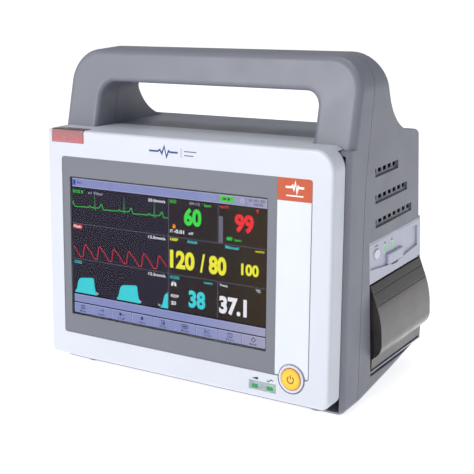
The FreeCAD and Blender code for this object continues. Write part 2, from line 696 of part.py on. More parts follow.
def tube(name, radius, points, bend):
    """A round hose along straight runs joined by arcs."""
    edges = []
    start = points[0]
    for back, here, ahead in zip(points, points[1:], points[2:]):
        into, out = (here - back).normalize(), (ahead - here).normalize()
        turn = into.getAngle(out)
        reach = bend * math.tan(turn / 2)
        first, last = here - into * reach, here + out * reach
        sag = bend / math.cos(turn / 2) - bend
        middle = here + (out - into).normalize() * sag
        edges += [Part.LineSegment(start, first).toShape(), Part.Arc(first, middle, last).toShape()]
        start = last
    edges.append(Part.LineSegment(start, points[-1]).toShape())
    section = Part.Wire(Part.Circle(points[0], points[1] - points[0], radius).toShape())
    item = doc.addObject("Part::Feature", name)
    item.Shape = Part.Wire(edges).makePipeShell([section], True, False)
    return item


def loudspeaker():
    cone = rod("speaker_cone", 19, 8, (SPEAKER[0], 65.5, SPEAKER[1]), Y)
    magnet = rod("speaker_magnet", 11, 9, (SPEAKER[0], 57, SPEAKER[1]), Y)
    return fuse("speaker", cone, magnet)


def parameter_board():
    board = box("parameter_base", ("board_thick", 64, 84), (-116, -8, 28))
    shield = box("parameter_shield", (6, 40, 44), (-114.5, 6, 52))
    return fuse("parameter_electronics", board, shield)


subpart("chassis", chassis())
subpart("main_board", main_board())
subpart("power_supply", power_supply())
subpart("battery_pack", soften("battery_soft", box("battery_block", (140, 60, 27), (-106, 8, 29)), 3,
                               lambda edge: edge.BoundBox.YLength > 50))
subpart("battery_cover", plate("cover", 151.4, 31.4, 2.6, 3),
        Placement(Vector(-36, size.case_back - 2.6, 43), Rotation()))
subpart("cuff_pump", fuse("pump", rod("pump_motor", 13, 34, (-60, 40, 82), X),
                          box("pump_head", (22, 30, 30), (-82, 25, 67))))
subpart("valve_block", box("valve", (24, 26, 18), (-40, -8, 76)))
subpart("air_tube", tube("hose", 2.5, [Vector(-82, 40, 74), Vector(-98, 40, 74), Vector(-98, 40, 62),
                                       Vector(-98, 20, 62)], 5))
subpart("loudspeaker", loudspeaker())
subpart("parameter_board", parameter_board())


# ---------------------------------------------------------------- sockets of the left side

PORT_FACE = -133.0
PORT_TIP = -142.4


def port(name, y, z, radius, bore, plug):
    """A round patient socket: a collar outside the panel, a bore and the insulator at its bottom."""
    body = rod(name + "_body", radius, 9.4 + 12, (PORT_TIP, y, z), X)
    well = rod(name + "_well", bore, 8, (PORT_TIP - 0.1, y, z), X)
    key = box(name + "_key", (8, 1.6, 1.4), (PORT_TIP, y - 0.8, z + bore - 1.2))
    pins = [rod("%s_pin_%d" % (name, number), 0.7, 4,
                (PORT_TIP + 5, y + plug * math.cos(turn), z + plug * math.sin(turn)), X)
            for number in range(5) for turn in [2 * math.pi * number / 5]]
    return fuse(name, cut(name + "_bored", body, well), key, *pins)


ECG, OXYGEN, GAS, CUFF = (10.0, 92.0), (46.0, 92.0), (46.0, 62.0), (10.0, 62.0)
TEMPERATURES = ((12.0, 40.0), (44.0, 40.0))
PORTS = [(ECG, 10), (OXYGEN, 10), (GAS, 9), (CUFF, 8), (TEMPERATURES[0], 6), (TEMPERATURES[1], 6)]


def connector_panel():
    low_y, high_y, low_z, high_z = PORT_WINDOW
    base = soften("panel_soft", box("panel_base", (3, high_y - low_y - 0.4, high_z - low_z - 0.4),
                                    (PORT_FACE, low_y + 0.2, low_z + 0.2)), 2,
                    lambda edge: edge.BoundBox.XLength > 2)
    holes = [rod("panel_hole_%d" % number, radius + 0.05, 10, (PORT_FACE - 3, y, z), X)
             for number, ((y, z), radius) in enumerate(PORTS)]
    return cut("panel", base, *holes)


def cuff_port():
    body = rod("cuff_body", 8, 9.4 + 12, (PORT_TIP, CUFF[0], CUFF[1]), X)
    well = rod("cuff_well", 6, 11, (PORT_TIP - 0.1, CUFF[0], CUFF[1]), X)
    nozzle = rod("cuff_nozzle", 2.6, 8, (PORT_TIP + 4.6, CUFF[0], CUFF[1]), X)
    duct = rod("cuff_duct", 1.2, 30, (PORT_TIP - 1, CUFF[0], CUFF[1]), X)
    return cut("cuff", fuse("cuff_solid", cut("cuff_bored", body, well), nozzle), duct)


subpart("connector_panel", connector_panel())
subpart("sensor_ports", group("sensors", [
    port("ecg", ECG[0], ECG[1], 10, 7.5, 4.5), port("oxygen", OXYGEN[0], OXYGEN[1], 10, 7.5, 4.5)]))
subpart("gas_port", port("gas", GAS[0], GAS[1], 9, 6.5, 3.6))
subpart("cuff_port", cuff_port())
subpart("temperature_ports", group("temperatures", [
    port("temperature_%d" % number, y, z, 6, 4.2, 2.2) for number, (y, z) in enumerate(TEMPERATURES)]))


# ---------------------------------------------------------------- sockets of the back

INLET = Vector(92, 0, 150)
STUD = Vector(66, 0, 150)
NETWORK = Vector(50, 0, 151)
USB_SPOTS = ((34.0, 144.0), (34.0, 156.0))
PLATE_BACK = 73.9


def rear_plate():
    left, right, low, high = PLATE_WINDOW
    base = box("io_base", (right - left + 6, 1.2, high - low + 6), (left - 3, PLATE_BACK - 1.2, low - 3))
    return cut("io_plate", base,
               box("io_inlet", (27.2, 20, 20.2), (INLET.x - 13.6, 60, INLET.z - 10.1)),
               rod("io_stud", "stud_collar + 0.05", 20, (STUD.x, 62, STUD.z), Y),
               box("io_network", (16.2, 20, 14.2), (NETWORK.x - 8.1, 60, NETWORK.z - 7.1)),
               *[box("io_usb_%d" % number, (14.2, 20, 7.2), (x - 7.1, 60, z - 3.6))
                 for number, (x, z) in enumerate(USB_SPOTS)])


def socket(name, centre, outside, inside, depth):
    """A rectangular socket whose cavity opens to the back."""
    body = box(name + "_body", (outside[0], 20, outside[1]),
               (centre[0] - outside[0] / 2, size.case_back - 20.5, centre[1] - outside[1] / 2))
    cavity = box(name + "_cavity", (inside[0], depth + 1, inside[1]),
                 (centre[0] - inside[0] / 2, size.case_back - 0.5 - depth, centre[1] - inside[1] / 2))
    return cut(name, body, cavity)


def mains_inlet():
    body = socket("inlet_block", (INLET.x, INLET.z), (27, 20), (24, 16), 15)
    flange = box("inlet_flange", (31, 2.4, 24), (INLET.x - 15.5, PLATE_BACK + 0.1, INLET.z - 12))
    opening = box("inlet_opening", (24, 8, 16), (INLET.x - 12, PLATE_BACK - 2, INLET.z - 8))
    return fuse("inlet", body, cut("inlet_rim", flange, opening))


def inlet_pins():
    places = ((-7, -3, 0), (7, -3, 0), (0, 2, 1.2))
    return group("blades", [box("blade_%d" % number,
            (2, 9 + extra, 4), (INLET.x + x - 1, 61.5, INLET.z + z - 2))
                            for number, (x, z, extra) in enumerate(places)])


subpart("rear_plate", rear_plate())
subpart("mains_inlet", mains_inlet())
subpart("inlet_pins", inlet_pins())
subpart("earth_stud", fuse("stud", rod("stud_pin", "stud_radius", 15.4, (STUD.x, 64, STUD.z), Y),
                           rod("stud_shoulder", "stud_collar", PLATE_BACK - 68, (STUD.x, 68, STUD.z), Y),
                           rod("stud_nut", 5.5, 4, (STUD.x, 68, STUD.z), Y)))
subpart("network_socket", socket("network", (NETWORK.x, NETWORK.z), (16, 14), (12, 8), 12))
subpart("usb_sockets", group("usb", [
    fuse("usb_%d" % number, socket("usb_shell_%d" % number, (x, z), (14, 7), (12.6, 5.2), 12),
         box("usb_tongue_%d" % number, (11, 9, 1.6), (x - 5.5, 64.5, z - 0.2)))
    for number, (x, z) in enumerate(USB_SPOTS)]))

# ---------------------------------------------------------------- side printer

FACE = size.printer_face
BAY_FRONT = size.printer_front + size.printer_wall
BAY_BACK = size.case_back - size.printer_wall
HINGE = Vector(FACE - size.hinge_in, 0, size.hinge_rise)
ROLL = Vector(FACE - size.roll_in, 0, size.roll_rise)
PLATEN = Vector(FACE - size.platen_in, 0, size.platen_rise)
GEAR_START = BAY_FRONT + 0.4
IDLER_TURN, PINION_TURN = 150.0, 200.0
FEED_KEY = (1.7, 109.2)
LATCH = (17.2, 43.4, 96.8, 104.9)
PRINTER_LAMPS = ((15.9, 109.9), (27.6, 109.9))
CREASES = (72.6, 81.7)
CREASE_WIDE = 0.6
CREASE_DEEP = 0.45


def meshed(centre, teeth_a, teeth_b, turn):
    """Centre of a gear that meshes with one at centre, in the direction turn in the XZ plane."""
    reach = size.gear_module * (teeth_a + teeth_b) / 2 + 0.02
    angle = math.radians(turn)
    return Vector(centre.x + reach * math.cos(angle), 0, centre.z + reach * math.sin(angle))


def mate_phase(phase, teeth_a, teeth_b, turn):
    """First-tooth angle of gear b, so that its gap takes the tooth of gear a; turn is from a to b."""
    pitch = 360 / teeth_a
    ahead = (phase - turn + pitch / 2) % pitch - pitch / 2
    return turn + 180 - ahead * teeth_a / teeth_b + 180 / teeth_b


IDLER = meshed(PLATEN, size.platen_teeth, size.idler_teeth, IDLER_TURN)
PINION = meshed(IDLER, size.idler_teeth, size.pinion_teeth, PINION_TURN)


def along_y(name, radius, length, centre, start):
    return rod(name, radius, length, (centre.x, start, centre.z), Y)


def printer_housing():
    block = box("printer_block", ("printer_deep",
                 "case_back - printer_front", "printer_top - printer_bottom"),
                (FACE - size.printer_deep, size.printer_front, size.printer_bottom))
    block = soften("printer_block_soft", block, 1.5, lambda edge: edge.BoundBox.XMin > FACE - 0.1)
    bay = box("printer_bay", ("printer_deep", "case_back - printer_front - 2 * printer_wall",
                              "printer_top - printer_bottom - 2 * printer_wall"),
              (FACE - size.printer_deep + size.printer_wall, BAY_FRONT,
               size.printer_bottom + size.printer_wall))
    axle = along_y("idler_axle", 1.5, 5.5, IDLER, BAY_FRONT - 0.5)
    seats = [along_y("seat_%d" % number, radius, BAY_BACK - BAY_FRONT + 3, centre, BAY_FRONT - 1.5)
             for number, (radius, centre) in enumerate(((2.05, PLATEN), (2.5, ROLL), (1.5, HINGE)))]
    return fuse("printer_body", cut("printer_hollow", block, bay, *seats), axle)


def panel_outline():
    """The panel's recess: its top edge is crowned and its lower edge sags."""
    return [(-11.2, 99.9), (29, 95.0, 150), (70.2, 99.4), (70.2, 115.7), (30, 120.4, 150), (-11.2, 116)]


def printer_panel():
    low, high = size.panel_bottom, size.printer_top - size.printer_wall - 0.2
    base = box("panel_block", (7, BAY_BACK - BAY_FRONT - 0.3, high - low), (FACE - 7, BAY_FRONT + 0.15, low))
    recess = slab("panel_recess", "X", FACE - 1.6, 4, panel_outline())
    key = slab("feed_hole", "X", FACE - 9, 12, key_outline(size.running_gap))
    slot = box("latch_slot", (12, 10.6, 9.2), (FACE - 9, 24.7, 94.8))
    lamps = [box("lamp_slot_%d" % number, (12, 1.7, 4.2), (FACE - 9, y - 0.85, z - 2.1))
             for number, (y, z) in enumerate(PRINTER_LAMPS)]
    return cut("printer_front", base, recess, key, slot, *lamps)


def key_outline(gap):
    half, rise = 4.4 + gap, 3.6 + gap
    y, z = FEED_KEY
    return [(y + side * half, z + lift * rise, rise - 0.05)
            for side, lift in ((-1, -1), (1, -1), (1, 1), (-1, 1))]


def feed_key():
    solid = slab("feed_solid", "X", FACE - 5.8, 5.2, key_outline(0))
    return soften("feed_soft", solid, 0.7, lambda edge: edge.BoundBox.XMin > FACE - 0.7)


def latch_tab():
    low_y, high_y, low_z, high_z = LATCH
    tab = soften("tab_soft",
                 box("tab_block", (2.4, high_y - low_y, high_z - low_z), (FACE - 1.5, low_y, low_z)), 0.8,
                 lambda edge: edge.BoundBox.XMin > FACE + 0.8)
    return fuse("tab", tab, box("tab_stem", (8.5, 10, 6), (FACE - 9.5, 25, 95.2)),
                box("tab_tooth", (2.5, 16, 4), (FACE - 9.8, 22, 96)))


def door_outline(shrink):
    """Section of the paper door: flat at the top, bulging out and tucked in at the foot."""
    bulge = FACE + size.door_bulge - shrink
    return [(HINGE.x - 0.2, 88 - shrink), (FACE + 0.5 - shrink, 88 - shrink),
            (bulge, 62.6 - shrink * 0.4, 70),
            (bulge, 36.8 + shrink * 0.7, 13 - shrink), (FACE + 1.2 - shrink, 30.6 + shrink, 3),
            (FACE + 0.6 - shrink, 22.5), (HINGE.x - 0.2, 22.5)]


def door_creases(start, long):
    """Two shallow lines pressed across the upper part of the door."""
    skin = cut("door_skin", slab("door_skin_outer", "Y", start - 1, long + 2, door_outline(-0.5)),
               slab("door_skin_inner", "Y", start - 2, long + 4, door_outline(CREASE_DEEP)))
    return common("door_creases", skin, group("crease_bands", [
        box("crease_band_%d" % number, (20, long - 2, CREASE_WIDE), (FACE - 2, start + 1, z))
        for number, z in enumerate(CREASES)]))


def paper_door():
    start, long = BAY_FRONT + 0.4, BAY_BACK - BAY_FRONT - 0.8
    outer = slab("door_outer", "Y", start, long, door_outline(0))
    inner_start = start + size.door_wall
    inner = slab("door_inner", "Y", inner_start, "%s - 2 * door_wall" % long, door_outline(size.door_wall))
    back = box("door_back_cut", (6, long - 2 * size.door_wall, 64), (HINGE.x - 5, inner_start, 22))
    shell = cut("door_shell", outer, inner, back, door_creases(start, long))
    knuckles = [along_y("knuckle_%d" % number, 3, 7, HINGE, y)
                for number, y in enumerate((start, start + long - 7))]
    ribs = [box("door_rib_%d" % number, (2.2, 7, 4.4), (HINGE.x + 1, y, HINGE.z - 2.1))
            for number, y in enumerate((start, start + long - 7))]
    bore = along_y("door_bore", "hinge_radius + 0.06", long + 4, HINGE, start - 2)
    return cut("door_bored", fuse("door_solid", shell, *knuckles, *ribs), bore)


def feed_gear(name, teeth, phase, centre, bore):
    wheel = gear(name + "_teeth", int(teeth), math.radians(phase), (centre.x, GEAR_START, centre.z))
    return cut(name, wheel, along_y(name + "_bore", bore, "gear_wide + 2", centre, GEAR_START - 1))


def printer_board():
    board = box("print_base", ("board_thick", 52, 14), (FACE - 10.6, -10, 105))
    switch = box("print_switch", (2.1, 5, 5), (FACE - 9, FEED_KEY[0] - 2.5, FEED_KEY[1] - 2.5))
    return fuse("print_electronics", board, switch)


IDLER_PHASE = IDLER_TURN + 180
subpart("printer_housing", printer_housing())
subpart("printer_panel", printer_panel())
subpart("feed_key", feed_key())
subpart("latch_tab", latch_tab())
subpart("printer_lamps", group("print_lamps", [
    box("print_lamp_%d" % number, (5, 1.5, 4), (FACE - 6.6, y - 0.75, z - 2))
    for number, (y, z) in enumerate(PRINTER_LAMPS)]))
subpart("paper_door", paper_door())
subpart("door_hinge_pin",
        along_y("door_pin", "hinge_radius", BAY_BACK - BAY_FRONT + 2.6, HINGE, BAY_FRONT - 1.3))
subpart("paper_roll", cut("roll", along_y("roll_paper", "roll_radius", "roll_wide", ROLL, BAY_FRONT + 4.2),
                          along_y("roll_hole", 8, "roll_wide + 2", ROLL, BAY_FRONT + 3)))
subpart("roll_spindle", fuse("spindle", along_y("spindle_body", 8, "roll_wide", ROLL, BAY_FRONT + 4.2),
                             along_y("spindle_ends", 2.42, BAY_BACK - BAY_FRONT + 2.4, ROLL, BAY_FRONT - 1.2)))
subpart("platen_roller", cut("platen", along_y("platen_rubber", "platen_radius", 78, PLATEN, -8),
                             along_y("platen_hole", 2, 80, PLATEN, -9)))
subpart("platen_shaft", along_y("platen_steel", 2, BAY_BACK - BAY_FRONT + 2.4, PLATEN, BAY_FRONT - 1.2))
subpart("platen_gear", feed_gear("platen_wheel", size.platen_teeth,
                                 mate_phase(IDLER_PHASE, size.idler_teeth, size.platen_teeth, IDLER_TURN + 180),
                                 PLATEN, 2))
subpart("idler_gear", feed_gear("idler_wheel", size.idler_teeth, IDLER_PHASE, IDLER, 1.56))
subpart("motor_pinion", fuse("pinion", feed_gear("pinion_wheel", size.pinion_teeth,
                             mate_phase(IDLER_PHASE, size.idler_teeth, size.pinion_teeth, PINION_TURN), PINION, 0.9),
                             along_y("pinion_shaft", 1, 12, PINION, GEAR_START)))
subpart("stepper_motor", cut("stepper", along_y("stepper_can", 11, 16, PINION, -8.3),
                             along_y("stepper_bore", 1.06, 10, PINION, -10)))
subpart("thermal_head", box("head_block", (6.4, 78, 10), (PLATEN.x - size.platen_radius - 6.8, -8, 76)))
subpart("tear_bar", box("tear_steel", (5.4, 85, 0.9), (FACE - 6, -12, 88.8)))
subpart("printer_board", printer_board())


# ---------------------------------------------------------------- feet, screws and inserts

def foot(name, x, y, tall):
    """A rubber foot whose top follows the case's sloping underside."""
    stub = rod(name + "_stub", "foot_radius", tall, (x, y, 0), Z)
    stub = soften(name + "_soft", stub, 1.2,
                  lambda edge: edge.BoundBox.ZMax < 0.01 and edge.BoundBox.XLength > 1)
    under = side_area(name + "_under", HALF_CASE, [
        (-70, -5), (75, -5), (75, floor_outside(75)), KEEL, CHIN, (-70, CHIN[1])])
    return common(name, stub, under)


def case_screw(name, x, z):
    """A pan-head screw with a cross recess, driven in from the back."""
    shank = rod(name + "_shank", "screw_radius", 17, (x, size.case_back - 16, z), Y)
    head = rod(name + "_head", 3, 1.6, (x, size.case_back, z), Y)
    outer = size.case_back + 0.7
    wide = box(name + "_slot", (3.6, 2, 0.8), (x - 1.8, outer, z - 0.4))
    tall = box(name + "_cross", (0.8, 2, 3.6), (x - 0.4, outer, z - 1.8))
    return cut(name, fuse(name + "_solid", shank, head), wide, tall)


subpart("front_feet", group("feet_at_front", [
    foot("front_foot_%d" % number, x, -46, 6) for number, x in enumerate((-108, 108))]))
subpart("rear_feet", group("feet_at_rear", [
    foot("rear_foot_%d" % number, x, 50, 20) for number, x in enumerate((-108, 100))]))
subpart("case_screws", group("screws", [
    case_screw("screw_%d" % number, x, z) for number, (x, z) in enumerate(CASE_SCREWS)]))
subpart("bracket_inserts", group("inserts", [
    cut("insert_%d" % number,
        rod("insert_brass_%d" % number, "insert_radius", "insert_long", (x, y, BRACKET.z), Z),
        rod("insert_tap_%d" % number, "insert_bore", "insert_long + 2", (x, y, BRACKET.z - 1), Z))
    for number, (x, y) in enumerate(bracket_corners())]))


# ---------------------------------------------------------------- checks and files

doc.recompute()
for item in doc.Objects:
    if "Invalid" in item.State or "Error" in item.State:
        raise RuntimeError("%s (%s) could not be made" % (item.Name, item.Label))
for item in SUBPARTS:
    if item.Shape.isNull() or not item.Shape.isValid():
        raise RuntimeError("%s has no valid shape" % item.Label)

os.makedirs("parts", exist_ok=True)
for item in SUBPARTS:
    item.Shape.exportStep("parts/%s.step" % item.Label)
    bounds = item.Shape.BoundBox
    print("%-20s %2d solids %9.0f mm3  X %7.1f %7.1f  Y %7.1f %7.1f  Z %7.1f %7.1f" % (
        item.Label, len(item.Shape.Solids), item.Shape.Volume, bounds.XMin, bounds.XMax, bounds.YMin,
        bounds.YMax, bounds.ZMin, bounds.ZMax))
print(len(SUBPARTS), "sub-parts")
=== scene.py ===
"""Looks of a portable patient monitor: its materials, the picture on its screen, printed marks and liners."""

import json
import math

import bmesh
import bpy
from mathutils import Matrix, Vector


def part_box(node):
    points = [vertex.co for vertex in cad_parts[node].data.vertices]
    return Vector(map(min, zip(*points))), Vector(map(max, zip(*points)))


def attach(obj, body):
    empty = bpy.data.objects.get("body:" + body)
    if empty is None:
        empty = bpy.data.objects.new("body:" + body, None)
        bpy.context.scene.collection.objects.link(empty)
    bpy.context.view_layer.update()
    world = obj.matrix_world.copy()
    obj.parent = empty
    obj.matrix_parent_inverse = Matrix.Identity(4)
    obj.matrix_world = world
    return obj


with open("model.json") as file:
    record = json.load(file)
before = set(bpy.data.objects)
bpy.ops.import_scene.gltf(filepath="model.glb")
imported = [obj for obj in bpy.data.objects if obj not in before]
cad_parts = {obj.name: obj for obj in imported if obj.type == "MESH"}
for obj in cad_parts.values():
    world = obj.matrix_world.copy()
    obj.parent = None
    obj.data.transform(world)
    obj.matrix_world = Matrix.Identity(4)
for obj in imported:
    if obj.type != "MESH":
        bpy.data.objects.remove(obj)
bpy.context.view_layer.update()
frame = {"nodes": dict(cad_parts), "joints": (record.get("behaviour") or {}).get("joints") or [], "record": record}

MM = 0.001
NODES = frame["nodes"]
JOINTS = {joint["name"]: joint for joint in frame["joints"]}


# ---------------------------------------------------------------- colours and node graphs

def srgb(code):
    """Linear colour of a six-digit sRGB code."""
    parts = [int(code[start:start + 2], 16) / 255 for start in (0, 2, 4)]
    linear = [part / 12.92 if part <= 0.04045 else ((part + 0.055) / 1.055) ** 2.4 for part in parts]
    return (*linear, 1.0)


def shade(code, factor):
    """A colour made darker or lighter by a factor."""
    return tuple(min(1.0, part * factor) for part in srgb(code)[:3]) + (1.0,)


class Graph:
    """The node graph of one material, built round its Principled shader."""

    def __init__(self, name, **sockets):
        self.material = bpy.data.materials.new(name)
        self.material.use_nodes = True
        self.tree = self.material.node_tree
        self.shader = self.tree.nodes["Principled BSDF"]
        self.place = self.add("TexCoord").outputs["Object"]
        for key, value in sockets.items():
            self.shader.inputs[key.replace("_", " ")].default_value = value

    def add(self, kind, inputs=None, **settings):
        node = self.tree.nodes.new("ShaderNode" + kind)
        for key, value in settings.items():
            setattr(node, key, value)
        for key, value in (inputs or {}).items():
            if isinstance(value, bpy.types.NodeSocket):
                self.tree.links.new(value, node.inputs[key])
            else:
                node.inputs[key].default_value = value
        return node

    def feed(self, socket, value):
        self.tree.links.new(value, self.shader.inputs[socket])

    def stretched(self, scale):
        return self.add("Mapping", {"Vector": self.place, "Scale": scale}).outputs["Vector"]

    def noise(self, scale, detail=3.0, place=None):
        return self.add("TexNoise", {"Vector": place or self.place, "Scale": scale,
                                     "Detail": detail}).outputs["Fac"]

    def spread(self, value, low, high, start=0.3, end=0.7):
        """Maps a value between start and end to a range."""
        return self.add("MapRange", {"Value": value, "From Min": start, "From Max": end,
                                     "To Min": low, "To Max": high}).outputs["Result"]

    def blend(self, share, first, second):
        return self.add("MixRGB", {"Fac": share, "Color1": first, "Color2": second}).outputs["Color"]

    def along(self, axis, start, end):
        """Goes from 0 to 1 between two places along an axis, in metres."""
        reach = self.add("VectorMath", {0: self.place, 1: axis}, operation="DOT_PRODUCT").outputs["Value"]
        return self.spread(reach, 0.0, 1.0, start, end)

    def off_axis(self, centre, axis):
        """Distance from a line through centre."""
        offset = self.add("VectorMath", {0: self.place, 1: centre}, operation="SUBTRACT").outputs["Vector"]
        crossed = self.add("VectorMath", {0: offset, 1: axis}, operation="CROSS_PRODUCT").outputs["Vector"]
        return self.add("VectorMath", {0: crossed}, operation="LENGTH").outputs["Value"]

    def facing(self, axis):
        """How far the surface faces an axis, from -1 to 1."""
        normal = self.add("NewGeometry").outputs["Normal"]
        return self.add("VectorMath", {0: normal, 1: axis}, operation="DOT_PRODUCT").outputs["Value"]

    def edges(self, radius):
        """Normal of softly rounded edges, and a mask that is 1 on them."""
        rounded = self.add("Bevel", {"Radius": radius}, samples=4).outputs["Normal"]
        normal = self.add("NewGeometry").outputs["Normal"]
        match = self.add("VectorMath", {0: rounded, 1: normal}, operation="DOT_PRODUCT").outputs["Value"]
        return rounded, self.spread(match, 1.0, 0.0, 0.88, 0.995)

    def corners(self, reach):
        """1 in open ground and 0 deep in corners, from ambient occlusion: the mask for painted shade in corners.
        """
        open_share = self.add("AmbientOcclusion", {"Distance": reach}, samples=4).outputs["AO"]
        return self.spread(open_share, 0.0, 1.0, 0.35, 0.8)

    def bump(self, height, depth, normal=None):
        inputs = {"Height": height, "Distance": depth, "Strength": 1.0}
        if normal is not None:
            inputs["Normal"] = normal
        return self.add("Bump", inputs).outputs["Normal"]


def moulded(name, colour, roughness, grain=1500.0, depth=0.012, corner_shade_and_dust=0.88, rub=1.08, **sockets):
    """Injection-moulded plastic: fine spark texture, faint mottling, painted shade in corners (a dusty grey on
    black plastic) and rubbed edges.
    """
    graph = Graph(name, **sockets)
    rounded, worn = graph.edges(0.5 * MM)
    mottled = graph.blend(graph.spread(graph.noise(22.0, 5.0), 0.0, 1.0), srgb(colour), shade(colour, 0.965))
    rubbed = graph.blend(graph.add("Math", {0: worn, 1: 0.6}, operation="MULTIPLY").outputs["Value"],
                         mottled, shade(colour, rub))
    # Painted shade: corners are darkened by the ambient-occlusion mask; a factor above 1, as on black plastic,
    # lightens them to a dusty grey instead.
    graph.feed("Base Color", graph.blend(graph.corners(4 * MM), shade(colour, corner_shade_and_dust), rubbed))
    smudged = graph.spread(graph.noise(45.0, 4.0), roughness - 0.05, roughness + 0.06)
    graph.feed("Roughness", smudged)
    graph.feed("Normal", graph.bump(graph.noise(grain, 2.0), depth * MM, rounded))
    return graph.material


def film(name, colour, roughness=0.38, **sockets):
    """Printed polyester film: smooth and satin, with a faint emboss and handling marks."""
    graph = Graph(name, **sockets)
    tone = graph.blend(graph.spread(graph.noise(30.0, 4.0), 0.0, 1.0), srgb(colour), shade(colour, 0.96))
    graph.feed("Base Color", tone)
    wiped = graph.noise(70.0, 5.0, graph.stretched((1.0, 1.0, 0.25)))
    graph.feed("Roughness", graph.spread(wiped, roughness - 0.06, roughness + 0.06))
    graph.feed("Normal", graph.bump(graph.noise(2600.0, 2.0), 0.004 * MM))
    return graph.material


def metal(name, colour, roughness, stretch=(1.0, 1.0, 0.05), grain=2400.0, depth=0.006, **sockets):
    """Brushed or turned metal with fine scratches, handling marks and brighter edges."""
    graph = Graph(name, Metallic=1.0, **sockets)
    rounded, worn = graph.edges(0.3 * MM)
    tone = graph.blend(graph.spread(graph.noise(90.0, 5.0), 0.0, 1.0), shade(colour, 0.86), srgb(colour))
    graph.feed("Base Color", graph.blend(worn, tone, shade(colour, 1.15)))
    lines = graph.noise(grain, 3.0, graph.stretched(stretch))
    graph.feed("Roughness", graph.spread(lines, roughness - 0.06, roughness + 0.1))
    graph.feed("Normal", graph.bump(lines, depth * MM, rounded))
    return graph.material


def circuit(name, colour):
    """Solder mask over copper tracks, with fine tracks as a relief."""
    graph = Graph(name, Coat_Weight=0.3)
    tracks = graph.add("TexBrick", {"Vector": graph.place, "Scale": 260.0,
                                    "Mortar Size": 0.03}).outputs["Fac"]
    wander = graph.spread(graph.noise(120.0, 2.0), 0.0, 1.0, 0.48, 0.52)
    layout = graph.add("Math", {0: tracks, 1: wander}, operation="MULTIPLY").outputs["Value"]
    graph.feed("Base Color", graph.blend(layout, srgb(colour), shade(colour, 1.9)))
    graph.feed("Roughness", graph.spread(graph.noise(300.0), 0.3, 0.45))
    graph.feed("Normal", graph.bump(layout, 0.03 * MM))
    return graph.material


def lit(name, colour, strength=1.0, grid=0.10):
    """Light from the display: its colour, through the fine columns of its pixels."""
    graph = Graph(name, Base_Color=(0.0, 0.0, 0.0, 1.0), Roughness=0.5, Specular_IOR_Level=0.04,
                  Emission_Strength=strength)
    columns = graph.add("TexWave", {"Vector": graph.place, "Scale": PIXELS_PER_METRE * math.tau / 20},
                        wave_type="BANDS", bands_direction="X").outputs["Fac"]
    graph.feed("Emission Color", graph.blend(columns, shade(colour, 1 - grid), srgb(colour)))
    return graph.material


def lit_ramp(name, colours, axis, places, strength=1.0):
    """Light from a display area whose colour drifts along an axis, under a faint painted reflection."""
    graph = Graph(name, Base_Color=(0.0, 0.0, 0.0, 1.0), Roughness=0.5, Specular_IOR_Level=0.04,
                  Emission_Strength=strength)
    tone = srgb(colours[0])
    for colour, start, end in zip(colours[1:], places, places[1:]):
        tone = graph.blend(graph.along(axis, start, end), tone, srgb(colour))
    # Painted reflection: a faint lighter cloud stands in for the glass's reflection over the display.
    painted_reflection = graph.spread(graph.noise(35.0, 3.0), 0.0, 0.12)
    graph.feed("Emission Color", graph.blend(painted_reflection, tone, shade(colours[0], 1.3)))
    return graph.material


def glowing(name, colour, light, strength):
    """A lamp behind a diffusing body."""
    graph = Graph(name, Emission_Strength=strength, Roughness=0.35)
    cloud = graph.spread(graph.noise(400.0, 2.0), 0.0, 1.0)
    graph.feed("Base Color", graph.blend(cloud, srgb(colour), shade(colour, 0.8)))
    graph.feed("Emission Color", graph.blend(cloud, srgb(light), shade(light, 0.7)))
    graph.feed("Normal", graph.bump(graph.noise(1200.0), 0.01 * MM))
    return graph.material


# ---------------------------------------------------------------- directions, faces and flat marks

ACROSS = Vector((1.0, 0.0, 0.0))
BACK = Vector((0.0, 1.0, 0.0))
RISE = Vector((0.0, 0.0, 1.0))
INTO = Vector(JOINTS["power_key_press"]["axis"]).normalized()
UP = ACROSS.cross(INTO)
PIXELS_PER_METRE = 800 / 0.1848


def span(node, axis):
    """Lowest and highest reach of a CAD node along an axis, in metres."""
    reaches = [vertex.co.dot(axis) for vertex in NODES[node].data.vertices]
    return min(reaches), max(reaches)


def middle(node, axis):
    return sum(span(node, axis)) / 2


class Face:
    """A flat place to print on; u runs right, v up and height outward, in millimetres."""

    def __init__(self, origin, right, up):
        self.origin, self.right, self.up = Vector(origin), Vector(right), Vector(up)
        self.out = self.right.cross(self.up)

    def point(self, u, v, height):
        return self.origin + (self.right * u + self.up * v + self.out * height) * MM

    def moved(self, u, v):
        return Face(self.point(u, v, 0), self.right, self.up)


def leaning_face(u, depth, v):
    """A face parallel to the screen, from its place along each leaning direction in metres."""
    return Face(ACROSS * u + INTO * depth + UP * v, ACROSS, UP)


def unit(vector):
    length = math.hypot(*vector) or 1.0
    return vector[0] / length, vector[1] / length


